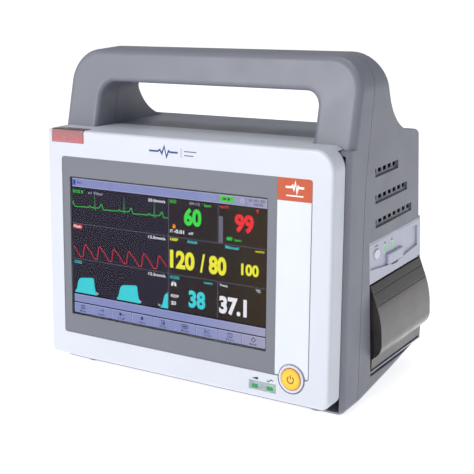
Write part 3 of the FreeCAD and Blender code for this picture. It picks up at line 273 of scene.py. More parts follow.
class Marks:
    """Flat shapes gathered on one face and then thickened into closed plates."""

    def __init__(self, face):
        self.face = face
        self.mesh = bmesh.new()

    def poly(self, points):
        self.mesh.faces.new([self.mesh.verts.new((u, v, 0)) for u, v in points])
        return self

    def rect(self, left, low, right, high, corner=0.0):
        if not corner:
            return self.poly([(left, low), (right, low), (right, high), (left, high)])
        centres = ((right - corner, low + corner, -90), (right - corner, high - corner, 0),
                   (left + corner, high - corner, 90), (left + corner, low + corner, 180))
        return self.poly([(u + corner * math.cos(math.radians(start + step)),
                           v + corner * math.sin(math.radians(start + step)))
                          for u, v, start in centres for step in (0, 22.5, 45, 67.5, 90)])

    def disc(self, u, v, radius, tall=None, count=32):
        tall = tall or radius
        return self.poly([(u + radius * math.cos(math.tau * step / count),
                           v + tall * math.sin(math.tau * step / count)) for step in range(count)])

    def stroke(self, points, width, closed=False):
        """A line of even width through points."""
        count, half, sides = len(points), width / 2, []
        for index, here in enumerate(points):
            before = points[index - 1] if closed or index else here
            after = points[(index + 1) % count] if closed or index < count - 1 else here
            come = unit((here[0] - before[0], here[1] - before[1]))
            leave = unit((after[0] - here[0], after[1] - here[1]))
            come = leave if before == here else come
            leave = come if after == here else leave
            along = unit((come[0] + leave[0], come[1] + leave[1]))
            reach = half / max(0.45, along[0] * come[0] + along[1] * come[1])
            sides.append([self.mesh.verts.new((here[0] - along[1] * reach * side,
                                               here[1] + along[0] * reach * side, 0)) for side in (-1, 1)])
        pairs = zip(sides, sides[1:] + sides[:1]) if closed else zip(sides, sides[1:])
        for (right, left), (next_right, next_left) in pairs:
            self.mesh.faces.new((right, next_right, next_left, left))
        return self

    def arc(self, u, v, radius, width, start=0.0, end=360.0, count=40):
        turns = [math.radians(start + (end - start) * step / count) for step in range(count + 1)]
        points = [(u + radius * math.cos(turn), v + radius * math.sin(turn)) for turn in turns]
        whole = abs(end - start) >= 360
        return self.stroke(points[:-1] if whole else points, width, closed=whole)

    def text(self, words, left, low, right, high, weight=0.0):
        """Words that fill a box."""
        curve = bpy.data.curves.new("words", "FONT")
        curve.body, curve.offset, curve.resolution_u = words, weight, 3
        holder = bpy.data.objects.new("words", curve)
        flat = bpy.data.meshes.new_from_object(holder)
        bpy.data.objects.remove(holder)
        bpy.data.curves.remove(curve)
        letters = bmesh.new()
        letters.from_mesh(flat)
        bpy.data.meshes.remove(flat)
        bmesh.ops.remove_doubles(letters, verts=letters.verts, dist=1e-4)
        xs = [vertex.co.x for vertex in letters.verts]
        ys = [vertex.co.y for vertex in letters.verts]
        wide, tall = (right - left) / (max(xs) - min(xs)), (high - low) / (max(ys) - min(ys))
        twins = {vertex: self.mesh.verts.new((left + (vertex.co.x - min(xs)) * wide,
                                              low + (vertex.co.y - min(ys)) * tall, 0))
                 for vertex in letters.verts}
        for face in letters.faces:
            self.mesh.faces.new([twins[vertex] for vertex in face.verts])
        letters.free()
        return self

    def piece(self, name, low, high, material, body="case", slot=None):
        """Thickens the shapes from one height to another above the face, and makes them a piece."""
        loose = [vertex for vertex in self.mesh.verts if not vertex.link_faces]
        bmesh.ops.delete(self.mesh, geom=loose, context="VERTS")
        for vertex in self.mesh.verts:
            vertex.co.z = low
        grown = bmesh.ops.extrude_face_region(self.mesh, geom=self.mesh.faces[:])["geom"]
        for item in grown:
            if isinstance(item, bmesh.types.BMVert):
                item.co.z = high
        bmesh.ops.recalc_face_normals(self.mesh, faces=self.mesh.faces)
        for vertex in self.mesh.verts:
            vertex.co = self.face.point(*vertex.co)
        return make_piece(name, self.mesh, material, body)


def make_piece(name, mesh, material, body):
    """Turns a bmesh into a piece that rides on a body."""
    data = bpy.data.meshes.new(name)
    mesh.to_mesh(data)
    mesh.free()
    data.materials.append(material)
    item = bpy.data.objects.new(name, data)
    bpy.context.scene.collection.objects.link(item)
    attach(item, body)
    return item


# ---------------------------------------------------------------- materials of the CAD nodes

def bezel_white():
    return moulded("bezel_white", "CFD3DE", 0.36, depth=0.008, corner_shade_and_dust=0.86, rub=1.03)


def case_grey():
    return moulded("case_grey", "7B7D89", 0.42, grain=1300.0, depth=0.02, corner_shade_and_dust=0.8, rub=1.1)


def key_yellow():
    """Silicone-coated key: yellow, with painted shade of its dome in deeper orange towards the edge."""
    graph = Graph("key_yellow", Coat_Weight=0.25, Coat_Roughness=0.25)
    centre = ACROSS * middle("power_key", ACROSS) + UP * middle("power_key", UP)
    # Painted shade: the dome turns deeper orange towards its outer edge, where it curves away from the light.
    rim_shade = graph.spread(graph.off_axis(centre, INTO), 0.0, 1.0, 5.8 * MM, 8.3 * MM)
    mottled = graph.blend(graph.spread(graph.noise(120.0, 4.0), 0.0, 1.0), srgb("FFCB2E"), srgb("FDC226"))
    graph.feed("Base Color", graph.blend(rim_shade, mottled, srgb("F0930C")))
    graph.feed("Roughness", graph.spread(graph.noise(200.0), 0.34, 0.46))
    graph.feed("Normal", graph.bump(graph.noise(1800.0), 0.01 * MM))
    return graph.material


def screen_glass():
    """Clear touch panel with a faint haze of fingerprints."""
    graph = Graph("screen_glass", Transmission_Weight=1.0, IOR=1.1)
    graph.shader.inputs["Base Color"].default_value = (0.97, 0.98, 1.0, 1.0)
    prints = graph.noise(60.0, 6.0, graph.stretched((1.0, 1.0, 0.6)))
    graph.feed("Roughness", graph.spread(prints, 0.0, 0.02, 0.45, 0.75))
    graph.feed("Normal", graph.bump(graph.noise(14.0, 1.0), 0.02 * MM))
    return graph.material


def window_grey():
    """Frosted light-pipe window."""
    graph = Graph("window_grey", Transmission_Weight=0.6, IOR=1.3)
    graph.feed("Base Color", graph.blend(graph.spread(graph.noise(150.0), 0.0, 1.0),
                                         srgb("E4E8F2"), srgb("D6DAE8")))
    graph.feed("Roughness", graph.spread(graph.noise(300.0), 0.12, 0.25))
    graph.feed("Normal", graph.bump(graph.noise(900.0), 0.01 * MM))
    return graph.material


def alarm_red():
    """Ribbed alarm light cover: milky pink from the front; painted deep red where it faces up, as shade of its
    dark inside.
    """
    graph = Graph("alarm_red", Coat_Weight=0.4, Coat_Roughness=0.1, IOR=1.45)
    low, high = span("alarm_lens", UP)
    height = graph.along(UP, low, high)
    milky = graph.blend(height, srgb("BC6068"), srgb("8E6A6C"))
    ribs = graph.add("TexWave", {"Vector": graph.place, "Scale": 90.0}, bands_direction="X").outputs["Fac"]
    milky = graph.blend(graph.spread(ribs, 0.0, 0.12, 0.0, 1.0), milky, srgb("B98A8B"))
    # Painted shade: faces that look up are coloured deep red, for the dark inside seen through the top.
    above = graph.spread(graph.facing(RISE), 0.0, 1.0, 0.35, 0.8)
    graph.feed("Base Color", graph.blend(above, milky, srgb("4A1412")))
    graph.feed("Roughness", graph.spread(graph.noise(200.0), 0.18, 0.3))
    graph.feed("Normal", graph.bump(ribs, 0.04 * MM))
    return graph.material


def door_smoke():
    """Smoked door: bronze-black, with a painted highlight across its middle that turns darker again near the top.
    """
    graph = Graph("door_smoke", Coat_Weight=0.6, Coat_Roughness=0.14)
    low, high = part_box("paper_door")
    # Painted highlight: lighter in a band across the door's middle, darker again near its top.
    highlight_band = graph.along(RISE, low.z + 0.012, low.z + 0.045)
    highlight_fade_top = graph.along(RISE, high.z - 0.018, high.z - 0.004)
    tone = graph.blend(highlight_band, srgb("171314"), srgb("3A3230"))
    tone = graph.blend(highlight_fade_top, tone, srgb("211D1D"))
    flow = graph.noise(70.0, 4.0, graph.stretched((1.0, 0.15, 1.0)))
    graph.feed("Base Color", graph.blend(graph.spread(flow, 0.0, 0.5), tone, srgb("3A3433")))
    graph.feed("Roughness", graph.spread(graph.noise(55.0, 4.0), 0.24, 0.36))
    graph.feed("Normal", graph.bump(graph.noise(1500.0), 0.008 * MM, graph.edges(0.6 * MM)[0]))
    return graph.material


def paper():
    """Thermal paper: soft fibre, and the wound edges of its layers on the roll's ends."""
    graph = Graph("paper", Roughness=0.85)
    low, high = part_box("paper_roll")
    axis_point = (low + high) / 2
    winding = graph.off_axis(axis_point, BACK)
    layers = graph.add("Math", {0: winding, 1: 14000.0}, operation="MULTIPLY").outputs["Value"]
    rings = graph.add("Math", {0: layers}, operation="SINE").outputs["Value"]
    ends = graph.spread(graph.add("Math", {0: graph.facing(BACK)}, operation="ABSOLUTE").outputs["Value"],
                        0.0, 1.0, 0.7, 0.9)
    ringed = graph.blend(graph.spread(rings, 0.0, 1.0, -1.0, 1.0), srgb("E9E6DC"), srgb("F6F4EE"))
    fibre = graph.blend(graph.spread(graph.noise(900.0, 5.0), 0.0, 1.0), srgb("F7F6F1"), srgb("EFEDE6"))
    graph.feed("Base Color", graph.blend(ends, fibre, ringed))
    graph.feed("Normal", graph.bump(graph.noise(2200.0, 4.0), 0.02 * MM))
    return graph.material


def rubber():
    """Soft black rubber with a dusty bloom."""
    graph = Graph("rubber", Specular_IOR_Level=0.3)
    bloom = graph.spread(graph.noise(60.0, 5.0), 0.0, 1.0)
    graph.feed("Base Color", graph.blend(bloom, srgb("1D1D20"), srgb("2B2B2F")))
    graph.feed("Roughness", graph.spread(graph.noise(500.0), 0.65, 0.85))
    graph.feed("Normal", graph.bump(graph.noise(1100.0), 0.03 * MM, graph.edges(0.5 * MM)[0]))
    return graph.material


def tube_clear():
    """Clear soft tubing."""
    graph = Graph("tube_clear", Transmission_Weight=0.7, IOR=1.4)
    graph.feed("Base Color", graph.blend(graph.spread(graph.noise(200.0), 0.0, 1.0),
                                         srgb("E8ECEE"), srgb("D4DADF")))
    graph.feed("Roughness", graph.spread(graph.noise(350.0), 0.2, 0.4))
    graph.feed("Normal", graph.bump(graph.noise(700.0), 0.02 * MM))
    return graph.material


def display():
    """The display module's own frame: black, with a tinned steel back."""
    graph = Graph("display", Roughness=0.5)
    behind = graph.spread(graph.facing(INTO), 0.0, 1.0, -0.2, 0.2)
    graph.feed("Base Color", graph.blend(behind, srgb("17161A"), srgb("9A9CA0")))
    graph.feed("Metallic", behind)
    graph.feed("Normal", graph.bump(graph.noise(800.0), 0.01 * MM))
    return graph.material


FINISHES = {
    "bezel_white": bezel_white,
    "case_grey": case_grey,
    "surround_grey": lambda: film("surround_grey", "6F727D", 0.42),
    "strip_white": lambda: film("strip_white", "D8DDEA", 0.36),
    "badge_orange": lambda: film("badge_orange", "BE4A14", 0.32),
    "key_yellow": key_yellow,
    "window_grey": window_grey,
    "lamp_green": lambda: glowing("lamp_green", "2E8B4C", "2FA458", 1.2),
    "alarm_red": alarm_red,
    "screen_glass": screen_glass,
    "display": display,
    "sheet_steel": lambda: metal("sheet_steel", "B4B6BA", 0.42),
    "steel": lambda: metal("steel", "C2C4C8", 0.3),
    "aluminium": lambda: metal("aluminium", "C9CBCF", 0.38, stretch=(0.05, 1.0, 1.0)),
    "brass": lambda: metal("brass", "D8B26A", 0.3),
    "board_green": lambda: circuit("board_green", "1F5A38"),
    "black_plastic": lambda: moulded("black_plastic", "232326", 0.45, corner_shade_and_dust=1.5, rub=1.7),
    "battery_blue": lambda: moulded("battery_blue", "3C5C96", 0.4),
    "socket_grey": lambda: moulded("socket_grey", "5E6068", 0.4, rub=1.2),
    "gear_white": lambda: moulded("gear_white", "EFEDE4", 0.35),
    "printer_white": lambda: moulded("printer_white", "BDC0D3", 0.38, depth=0.01, corner_shade_and_dust=0.84, rub=1.03),
    "key_grey": lambda: moulded("key_grey", "E2E4EE", 0.4),
    "door_smoke": door_smoke,
    "paper": paper,
    "rubber": rubber,
    "tube_clear": tube_clear,
}


def dress_nodes():
    """Gives every CAD node the material of its slot."""
    made = {}
    for part in frame["record"]["subparts"]:
        slot = part["material_slot"]
        if slot not in made:
            made[slot] = FINISHES[slot]()
        NODES[part["node"]].data.materials[0] = made[slot]
    return made


finish = dress_nodes()


# ---------------------------------------------------------------- picture on the screen

LIT_WIDE, LIT_TALL = 184.8, 110.88
screen = leaning_face(middle("lcd_module", ACROSS), span("lcd_module", INTO)[0],
                      middle("lcd_module", UP)).moved(-LIT_WIDE / 2, -LIT_TALL / 2)
BACKLIGHT, AREA, INK, TOP_INK = (0.01, 0.03), (0.03, 0.05), (0.05, 0.07), (0.07, 0.09)
BAR_LOW, WAVE_LOW, MESSAGE, KEYS_HIGH = 104.1, 16.9, (9.1, 15.4), 8.2
ROWS = (16.9, 45.0, 74.1, 103.6)
BLOCK_LEFT, SPLIT = 96.5, 142.3
INKS = {
    "green": lit("ink_green", "3FDC4A"), "red": lit("ink_red", "F0343C"), "cyan": lit("ink_cyan", "41D3DC"),
    "yellow": lit("ink_yellow", "F2EC3A"), "white": lit("ink_white", "F0F0F4"),
    "orange": lit("ink_orange", "F08A24"), "grey": lit("ink_grey", "9A98A8"),
    "line": lit("ink_line", "6C6A7E"), "dark": lit("ink_dark", "34304A"), "blue": lit("ink_blue", "2E54B8"),
    "bar": lit("ink_bar", "6E6A7C"), "pale": lit("ink_pale", "C2C4E0"), "label": lit("ink_label", "B8323A"),
}
LABEL_TALL = 2.3
KEY_NAMES = ("Menu", "Next", "Cuff", "Alarm", "Setup", "Mode", "Trend", "Print", "Back")

# words, ink, left, right, foot, height, weight; millimetres from the lit area's lower left corner
READINGS = (
    ("60", "green", 111.0, 127.2, 84.1, 13.8, 0.045), ("99", "red", 157.0, 173.6, 84.0, 14.0, 0.045),
    ("120", "yellow", 97.8, 121.0, 49.7, 14.4, 0.045), ("/", "yellow", 126.0, 130.6, 49.7, 14.4, 0.03),
    ("80", "yellow", 134.0, 150.0, 49.7, 14.4, 0.045), ("100", "yellow", 163.0, 178.4, 52.6, 9.0, 0.04),
    ("38", "cyan", 115.5, 131.0, 21.0, 13.7, 0.045), ("37.1", "white", 143.7, 168.3, 20.7, 13.8, 0.045),
    ("60", "green", 150.0, 155.0, 77.2, 2.9, 0.03), ("20", "white", 98.7, 103.4, 20.8, 3.0, 0.03),
    ("-0.01", "white", 101.6, 111.2, 77.2, 2.9, 0.03),
)
# words, ink, left, right, foot
LABELS = (
    ("ECG II", "green", 0.5, 10.8, 99.2), ("x1 Filter", "grey", 16.2, 32.0, 99.2),
    ("25.0mm/s", "white", 77.0, 93.4, 99.2), ("Pleth", "white", 0.6, 8.4, 70.6),
    ("12.5mm/s", "white", 77.0, 93.4, 70.4), ("CO2", "cyan", 0.6, 8.6, 41.2),
    ("12.5mm/s", "white", 77.0, 93.4, 41.2), ("ECG", "green", 97.9, 103.8, 100.2),
    ("09:12", "grey", 116.2, 125.8, 100.2), ("bpm", "green", 129.8, 135.8, 99.8),
    ("mV", "white", 115.6, 119.8, 77.4), ("ST", "white", 98.0, 100.8, 77.4),
    ("SpO2", "red", 144.0, 151.4, 100.4), ("%", "red", 175.4, 177.8, 100.4),
    ("bpm", "green", 157.2, 162.8, 76.8), ("NIBP", "yellow", 98.0, 105.6, 71.0),
    ("Adult", "cyan", 114.0, 123.4, 71.0), ("Manual", "cyan", 149.0, 160.6, 71.0),
    ("mmHg", "yellow", 175.2, 183.0, 70.6), ("CO2", "cyan", 98.0, 106.6, 41.4),
    ("mmHg", "cyan", 129.8, 137.6, 41.0), ("Temp", "white", 144.0, 151.2, 41.2),
    ("RESP", "white", 98.7, 106.2, 26.8), ("°C", "white", 176.0, 180.2, 41.4),
)


def show(marks, name, layer, material):
    """Makes a piece of the display's picture in one of its layers."""
    marks.piece(name, *layer, material, slot="display")


def screen_areas():
    """The lit panel: dark wave field, warmer number block, lavender bars."""
    whole = Marks(screen).rect(0, 0, LIT_WIDE, LIT_TALL)
    show(whole, "screen_backlight", BACKLIGHT, lit("backlight", "1B1824"))
    waves = lit_ramp("wave_field", ("262231", "2C2836"), ACROSS, (0.0, 0.05))
    show(Marks(screen).rect(0, WAVE_LOW, BLOCK_LEFT - 0.5, BAR_LOW), "screen_wave_field", AREA, waves)
    left = span("lcd_module", ACROSS)[0]
    places = [left + share * MM for share in (120.0, 150.0, 190.0)]
    numbers = lit_ramp("number_field", ("282127", "2A2220", "362B1B"), ACROSS, places)
    block = Marks(screen).rect(BLOCK_LEFT, WAVE_LOW, LIT_WIDE - 0.4, BAR_LOW - 0.4)
    show(block, "screen_number_field", AREA, numbers)
    lavender = lit_ramp("lavender_bars", ("868EBE", "8F93BE", "A3A1B8"), ACROSS, places)
    bars = Marks(screen).rect(0, BAR_LOW, LIT_WIDE, LIT_TALL).rect(0, MESSAGE[0], LIT_WIDE, MESSAGE[1])
    show(bars.rect(0, 0, LIT_WIDE, KEYS_HIGH), "screen_bars", AREA, lavender)


def key_edges():
    """Left edges of the soft keys, in millimetres."""
    first, pitch = 18.1, 20.84
    return [0.0] + [first + pitch * number for number in range(8)] + [LIT_WIDE]


def screen_lines():
    rules = Marks(screen)
    for height in ROWS[1:3]:
        rules.stroke([(0, height), (LIT_WIDE, height)], 0.32)
    rules.stroke([(BLOCK_LEFT, ROWS[0]), (BLOCK_LEFT, BAR_LOW)], 0.4)
    for low, high in ((ROWS[0], ROWS[1]), (ROWS[2], ROWS[3])):
        rules.stroke([(SPLIT, low), (SPLIT, high)], 0.4)
    show(rules, "screen_rules", INK, INKS["line"])
    shine = Marks(screen)
    for left, right in zip(key_edges(), key_edges()[1:]):
        shine.stroke([(left + 0.5, KEYS_HIGH - 0.35), (right - 0.5, KEYS_HIGH - 0.35)], 0.3)
        shine.stroke([(left + 0.5, 0.4), (left + 0.5, KEYS_HIGH - 0.35)], 0.25)
    for height in (BAR_LOW + 0.3, MESSAGE[1] - 0.3, LIT_TALL - 0.3):
        shine.stroke([(0, height), (LIT_WIDE, height)], 0.25)
    show(shine, "screen_shine", INK, INKS["pale"])
    gaps = Marks(screen)
    for edge in key_edges()[1:-1]:
        gaps.stroke([(edge, 0), (edge, KEYS_HIGH)], 0.35)
    for edge in (39.1, 141.9, 166.9):
        gaps.stroke([(edge, BAR_LOW + 0.3), (edge, LIT_TALL)], 0.35)
    show(gaps, "screen_gaps", INK, INKS["line"])


def hump(start, end, height, count=8):
    """A rounded hump from start to end, as distances along and heights."""
    return [(start + (end - start) * step / count, height * math.sin(math.pi * step / count) ** 2)
            for step in range(count + 1)]


def ecg_line():
    """Heart trace: drifting baseline with P, QRS and T at each beat."""
    pitch, first, base, drift = 30.0, 23.1, 87.9, 1.3
    points = []
    for number in range(-1, 3):
        peak = first + pitch * number
        beat = hump(peak - 6.6, peak - 3.6, 1.3) + [
            (peak - 1.0, 0.0), (peak - 0.6, -0.9), (peak, 10.2), (peak + 0.55, -1.6), (peak + 1.0, 0.0)]
        beat += hump(peak + 4.6, peak + 9.4, 3.1)
        for along, height in beat:
            level = base + drift * max(0.0, (along - peak + 22) % pitch - 2) / pitch
            points.append((along, level + height))
    right = BLOCK_LEFT - 0.8
    kept = [point for point in points if 0 <= point[0] <= right]
    return [(0.0, base + 1.8)] + kept + [(right, base + 0.2)]


def pleth_line():
    """Pulse wave: steep rise, slow fall with a shoulder, short trough."""
    pitch, first_peak, low, tall = 15.0, 12.8, 46.9, 10.6
    beat = ((-0.24, 0.0), (-0.2, 0.03), (-0.16, 0.25), (-0.1, 0.8), (-0.05, 0.97), (0.0, 1.0), (0.05, 0.94),
            (0.16, 0.74), (0.22, 0.69), (0.3, 0.6), (0.46, 0.3), (0.56, 0.1), (0.64, 0.01))
    points = [(first_peak + pitch * (number + along), low + tall * height)
              for number in range(-1, 7) for along, height in beat]
    return [point for point in points if 0 <= point[0] <= BLOCK_LEFT - 0.8]


def breath(start, end, right=None):
    """Filled outline of one breath of gas, cut off at right."""
    base, low, high = WAVE_LOW, 29.4, 30.9
    points = [(start - 1.5, base), (start + 0.8, base + 3.4), (start + 2.2, base + 9.0),
              (start + 3.6, low - 1.2), (start + 5.6, low),
              (end - 3.0, high), (end - 1.6, high - 0.6), (end - 0.6, base + 6.4),
              (end + 0.6, base + 1.6), (end + 2.4, base)]
    points = [(max(0.0, along), height) for along, height in points]
    if right is None:
        return points
    kept = [point for point in points if point[0] < right]
    return kept + [(right, kept[-1][1] + 1.5), (right, base)]


def screen_waves():
    show(Marks(screen).stroke(ecg_line(), 0.42), "screen_heart_trace", INK, INKS["green"])
    show(Marks(screen).stroke(pleth_line(), 0.5), "screen_pulse_trace", INK, INKS["red"])
    gas = Marks(screen).poly(breath(2.0, 22.4)).poly(breath(45.8, 67.0)).poly(breath(89.8, 112.0, 95.8))
    show(gas, "screen_gas_trace", INK, INKS["cyan"])
    breaks = Marks(screen)
    for start in (23.4, 67.4, 86.2):
        breaks.stroke([(start, 19.6), (start + 1.2, 18.2), (start + 2.4, 18.9)], 0.5)
    show(breaks, "screen_gas_marks", INK, INKS["white"])


def screen_words():
    """Readings and labels, one piece per ink."""
    sheets = {}
    for words, ink, left, right, foot, tall, weight in READINGS:
        sheets.setdefault(ink, Marks(screen)).text(words, left, foot, right, foot + tall, weight)
    for words, ink, left, right, foot in LABELS:
        sheets.setdefault(ink, Marks(screen)).text(words, left, foot, right, foot + LABEL_TALL, 0.02)
    for ink, sheet in sheets.items():
        show(sheet, "screen_words_" + ink, TOP_INK, INKS[ink])
    show(Marks(screen).rect(0, 69.9, 9.6, 73.6), "screen_label_box", INK, INKS["label"])
    strength = Marks(screen).rect(143.0, 74.7, 146.6, 94.7)
    show(strength, "screen_strength_bar", INK, INKS["bar"])


def screen_icons():
    bell = Marks(screen).poly([(99.6, 81.2), (103.8, 81.2), (103.0, 82.2), (102.7, 83.4), (101.7, 84.2),
                               (100.7, 83.4), (100.4, 82.2)]).disc(101.7, 80.8, 0.5)
    show(bell, "screen_bell", INK, INKS["orange"])
    lungs = Marks(screen)
    for side in (-1, 1):
        lungs.poly([(101.4 + side * along, height) for along, height in
                    ((0.35, 37.6), (0.9, 39.0), (1.7, 38.9), (2.4, 37.2), (2.5, 35.6), (0.5, 36.0))])
    lungs.stroke([(101.4, 40.0), (101.4, 37.8)], 0.4)
    show(lungs, "screen_lungs", INK, INKS["white"])
    battery = Marks(screen).rect(143.8, 105.7, 156.3, 109.9, 1.4)
    show(battery, "screen_battery", INK, lit("ink_battery", "4CD03A"))
    plug = Marks(screen).disc(151.6, 107.8, 1.0).rect(146.4, 107.2, 149.4, 108.4)
    show(plug, "screen_battery_plug", TOP_INK, INKS["dark"])
    show(Marks(screen).arc(163.4, 107.8, 1.3, 0.45), "screen_clock", INK, INKS["pale"])
    patient = Marks(screen).rect(0.6, 105.4, 3.4, 109.8, 0.6)
    show(patient, "screen_patient", INK, INKS["blue"])
    clock = Marks(screen).text("01-01-25", 169.0, 108.0, 182.6, 109.9, 0.01)
    clock.text("10:25", 173.6, 105.2, 181.0, 107.1, 0.01).text("Bed 1", 5.0, 106.8, 10.6, 108.8, 0.01)
    show(clock, "screen_clock_words", INK, INKS["dark"])


def soft_key_icons():
    """Dark glyphs and names of the nine soft keys."""
    edges = key_edges()
    centres = [(left + right) / 2 for left, right in zip(edges, edges[1:])]
    high = 5.1

    def at(key, *points):
        """Points round the middle of a key's glyph."""
        return [(centres[key] + u, high + v) for u, v in points]

    glyphs = Marks(screen)
    glyphs.stroke(at(0, (-1.8, -1.5), (1.8, -1.5), (1.8, 1.5), (-1.8, 1.5)), 0.4, closed=True)
    for lift in (-0.7, 0.0, 0.7):
        glyphs.stroke(at(0, (-1.2, lift), (1.2, lift)), 0.3)
    glyphs.stroke(at(1, (-2.2, 0.0), (0.8, 0.0)), 0.45)
    glyphs.poly(at(1, (0.6, -0.9), (1.8, 0.0), (0.6, 0.9)))
    glyphs.stroke(at(1, (2.2, -1.5), (2.2, 1.5)), 0.4)
    glyphs.disc(*at(2, (-1.2, 0.1))[0], 1.2)
    glyphs.stroke(at(2, (-0.2, -0.3), (1.2, -0.6), (2.8, -0.2)), 0.5)
    glyphs.poly(at(3, (-1.8, -1.1), (1.8, -1.1), (1.2, -0.3), (1.0, 0.8), (0.0, 1.6), (-1.0, 0.8),
                   (-1.2, -0.3)))
    glyphs.stroke(at(4, (-1.6, -1.6), (1.6, -1.6), (1.6, 0.8), (0.6, 1.7), (-1.6, 1.7)), 0.45, closed=True)
    glyphs.rect(centres[4] - 0.4, high - 1.0, centres[4] + 1.1, high + 0.4)
    turns = [math.tau * step / 24 for step in range(24)]
    glyphs.stroke(at(5, *((3.2 * math.cos(turn), 1.6 * math.sin(turn)) for turn in turns)), 0.5, closed=True)
    glyphs.rect(centres[5] - 1.8, high - 0.5, centres[5] + 1.8, high + 0.5)
    glyphs.stroke(at(6, (-2.2, 1.7), (-2.2, -1.6), (2.6, -1.6)), 0.45)
    glyphs.stroke(at(6, (-1.9, -0.8), (-0.7, 0.5), (0.4, -0.4), (2.4, 0.8)), 0.4)
    glyphs.stroke(at(7, (-1.9, -1.5), (1.9, -1.5), (1.9, 1.5), (-1.9, 1.5)), 0.45, closed=True)
    glyphs.stroke(at(7, (0.0, -0.9), (0.0, 0.9)), 0.5)
    glyphs.stroke(at(8, (-1.9, 0.0), (0.0, 1.8), (1.9, 0.0), (0.0, -1.8)), 0.5, closed=True)
    for centre, name in zip(centres, KEY_NAMES):
        glyphs.text(name, centre - 3.4, 0.9, centre + 3.4, 2.5, 0.01)
    show(glyphs, "screen_key_glyphs", INK, INKS["dark"])


screen_areas()
screen_lines()
screen_waves()
screen_words()
screen_icons()
soft_key_icons()


# ---------------------------------------------------------------- marks printed on the front

PRINT, THICK_PRINT = (-0.02, 0.04), (-0.02, 0.05)


def on_bezel(u, v):
    """The bezel's face at a place along the leaning directions, in metres."""
    return leaning_face(u, span("front_bezel", INTO)[0], v)


def pulse(u, v, wide, tall):
    """A generic heartbeat line round a centre."""
    shape = ((-0.5, 0.0), (-0.2, 0.0), (-0.12, 0.16), (-0.05, -0.2), (0.03, 0.5), (0.11, -0.5), (0.18, 0.1),
             (0.24, 0.0), (0.5, 0.0))
    return [(u + wide * along, v + tall * height) for along, height in shape]


def mains_wave(u, v, half, tall):
    """One period of the mains sign, from -half to half round a centre."""
    return [(u + half * along, v + tall * math.sin(math.pi * along))
            for along in (-1.0, -0.75, -0.5, -0.25, 0.0, 0.25, 0.5, 0.75, 1.0)]


def maker_mark():
    """A plain heartbeat line where the front has its printed mark."""
    navy = film("ink_navy", "1D3F78", 0.35)
    above = on_bezel(middle("lcd_module", ACROSS) + 0.009, span("display_surround", UP)[1] + 0.0106)
    mark = Marks(above).stroke(pulse(-8.0, 0.0, 27.0, 8.0), 1.4)
    mark.stroke([(8.6, -3.6), (8.6, 3.6)], 0.35)
    mark.stroke([(11.4, 1.4), (22.6, 1.4)], 0.7).stroke([(11.4, -1.6), (20.0, -1.6)], 0.7)
    mark.piece("front_pulse_mark", *PRINT, navy, slot="strip_white")


def badge_mark():
    """White heartbeat line on the orange badge."""
    face = leaning_face(middle("badge_plate", ACROSS), span("badge_plate", INTO)[0],
                        middle("badge_plate", UP))
    white = film("ink_badge_white", "F6F6F4", 0.35)
    mark = Marks(face).stroke(pulse(0.0, 1.6, 15.0, 7.4), 1.5).stroke([(-7.0, -4.4), (7.0, -4.4)], 0.9)
    mark.piece("badge_pulse_mark", *PRINT, white, slot="badge_orange")


def status_marks():
    """Battery and mains symbols above their lamps."""
    face = on_bezel(middle("status_window", ACROSS), span("status_window", UP)[1])
    low, high = span("status_lamps", ACROSS)
    reach = (high - low) / 2 / MM - 3.0
    height = 2.1
    ink = film("ink_charcoal", "2C2E34", 0.4)
    mark = Marks(face).poly([(-reach - 2.9, height - 0.5), (-reach + 1.2, height - 0.9),
                             (-reach + 2.9, height - 0.9), (-reach + 2.9, height + 0.9),
                             (-reach + 1.2, height + 0.9)])
    mark.stroke(mains_wave(reach, height, 2.6, 0.9), 0.75)
    mark.piece("status_symbols", *PRINT, ink, slot="strip_white")
    window = leaning_face(middle("status_window", ACROSS), span("status_window", INTO)[0],
                          middle("status_window", UP))
    glow = Marks(window)
    for side in (-1, 1):
        glow.rect(side * reach - 2.7, -2.2, side * reach + 2.7, 0.9, 0.5)
    glow.piece("status_lights", *PRINT, lit("status_green", "4DA869", grid=0.05), slot="lamp_green")


def key_mark():
    """The power symbol on the yellow key."""
    face = leaning_face(middle("power_key", ACROSS), span("power_key", INTO)[0], middle("power_key", UP))
    brown = film("ink_brown", "8A4A12", 0.4)
    mark = Marks(face).arc(0.0, -0.3, 2.6, 0.95, 125.0, 415.0).stroke([(0.0, 0.2), (0.0, 3.3)], 0.95)
    mark.piece("power_symbol", -0.03, 0.04, brown, body="power_key", slot="key_yellow")


maker_mark()
badge_mark()
status_marks()
key_mark()


# ---------------------------------------------------------------- marks on the printer, sockets and back

def side_face(node, x):
    """A face looking out to the right, at the middle of a node."""
    return Face((x, middle(node, BACK), middle(node, RISE)), BACK, RISE)


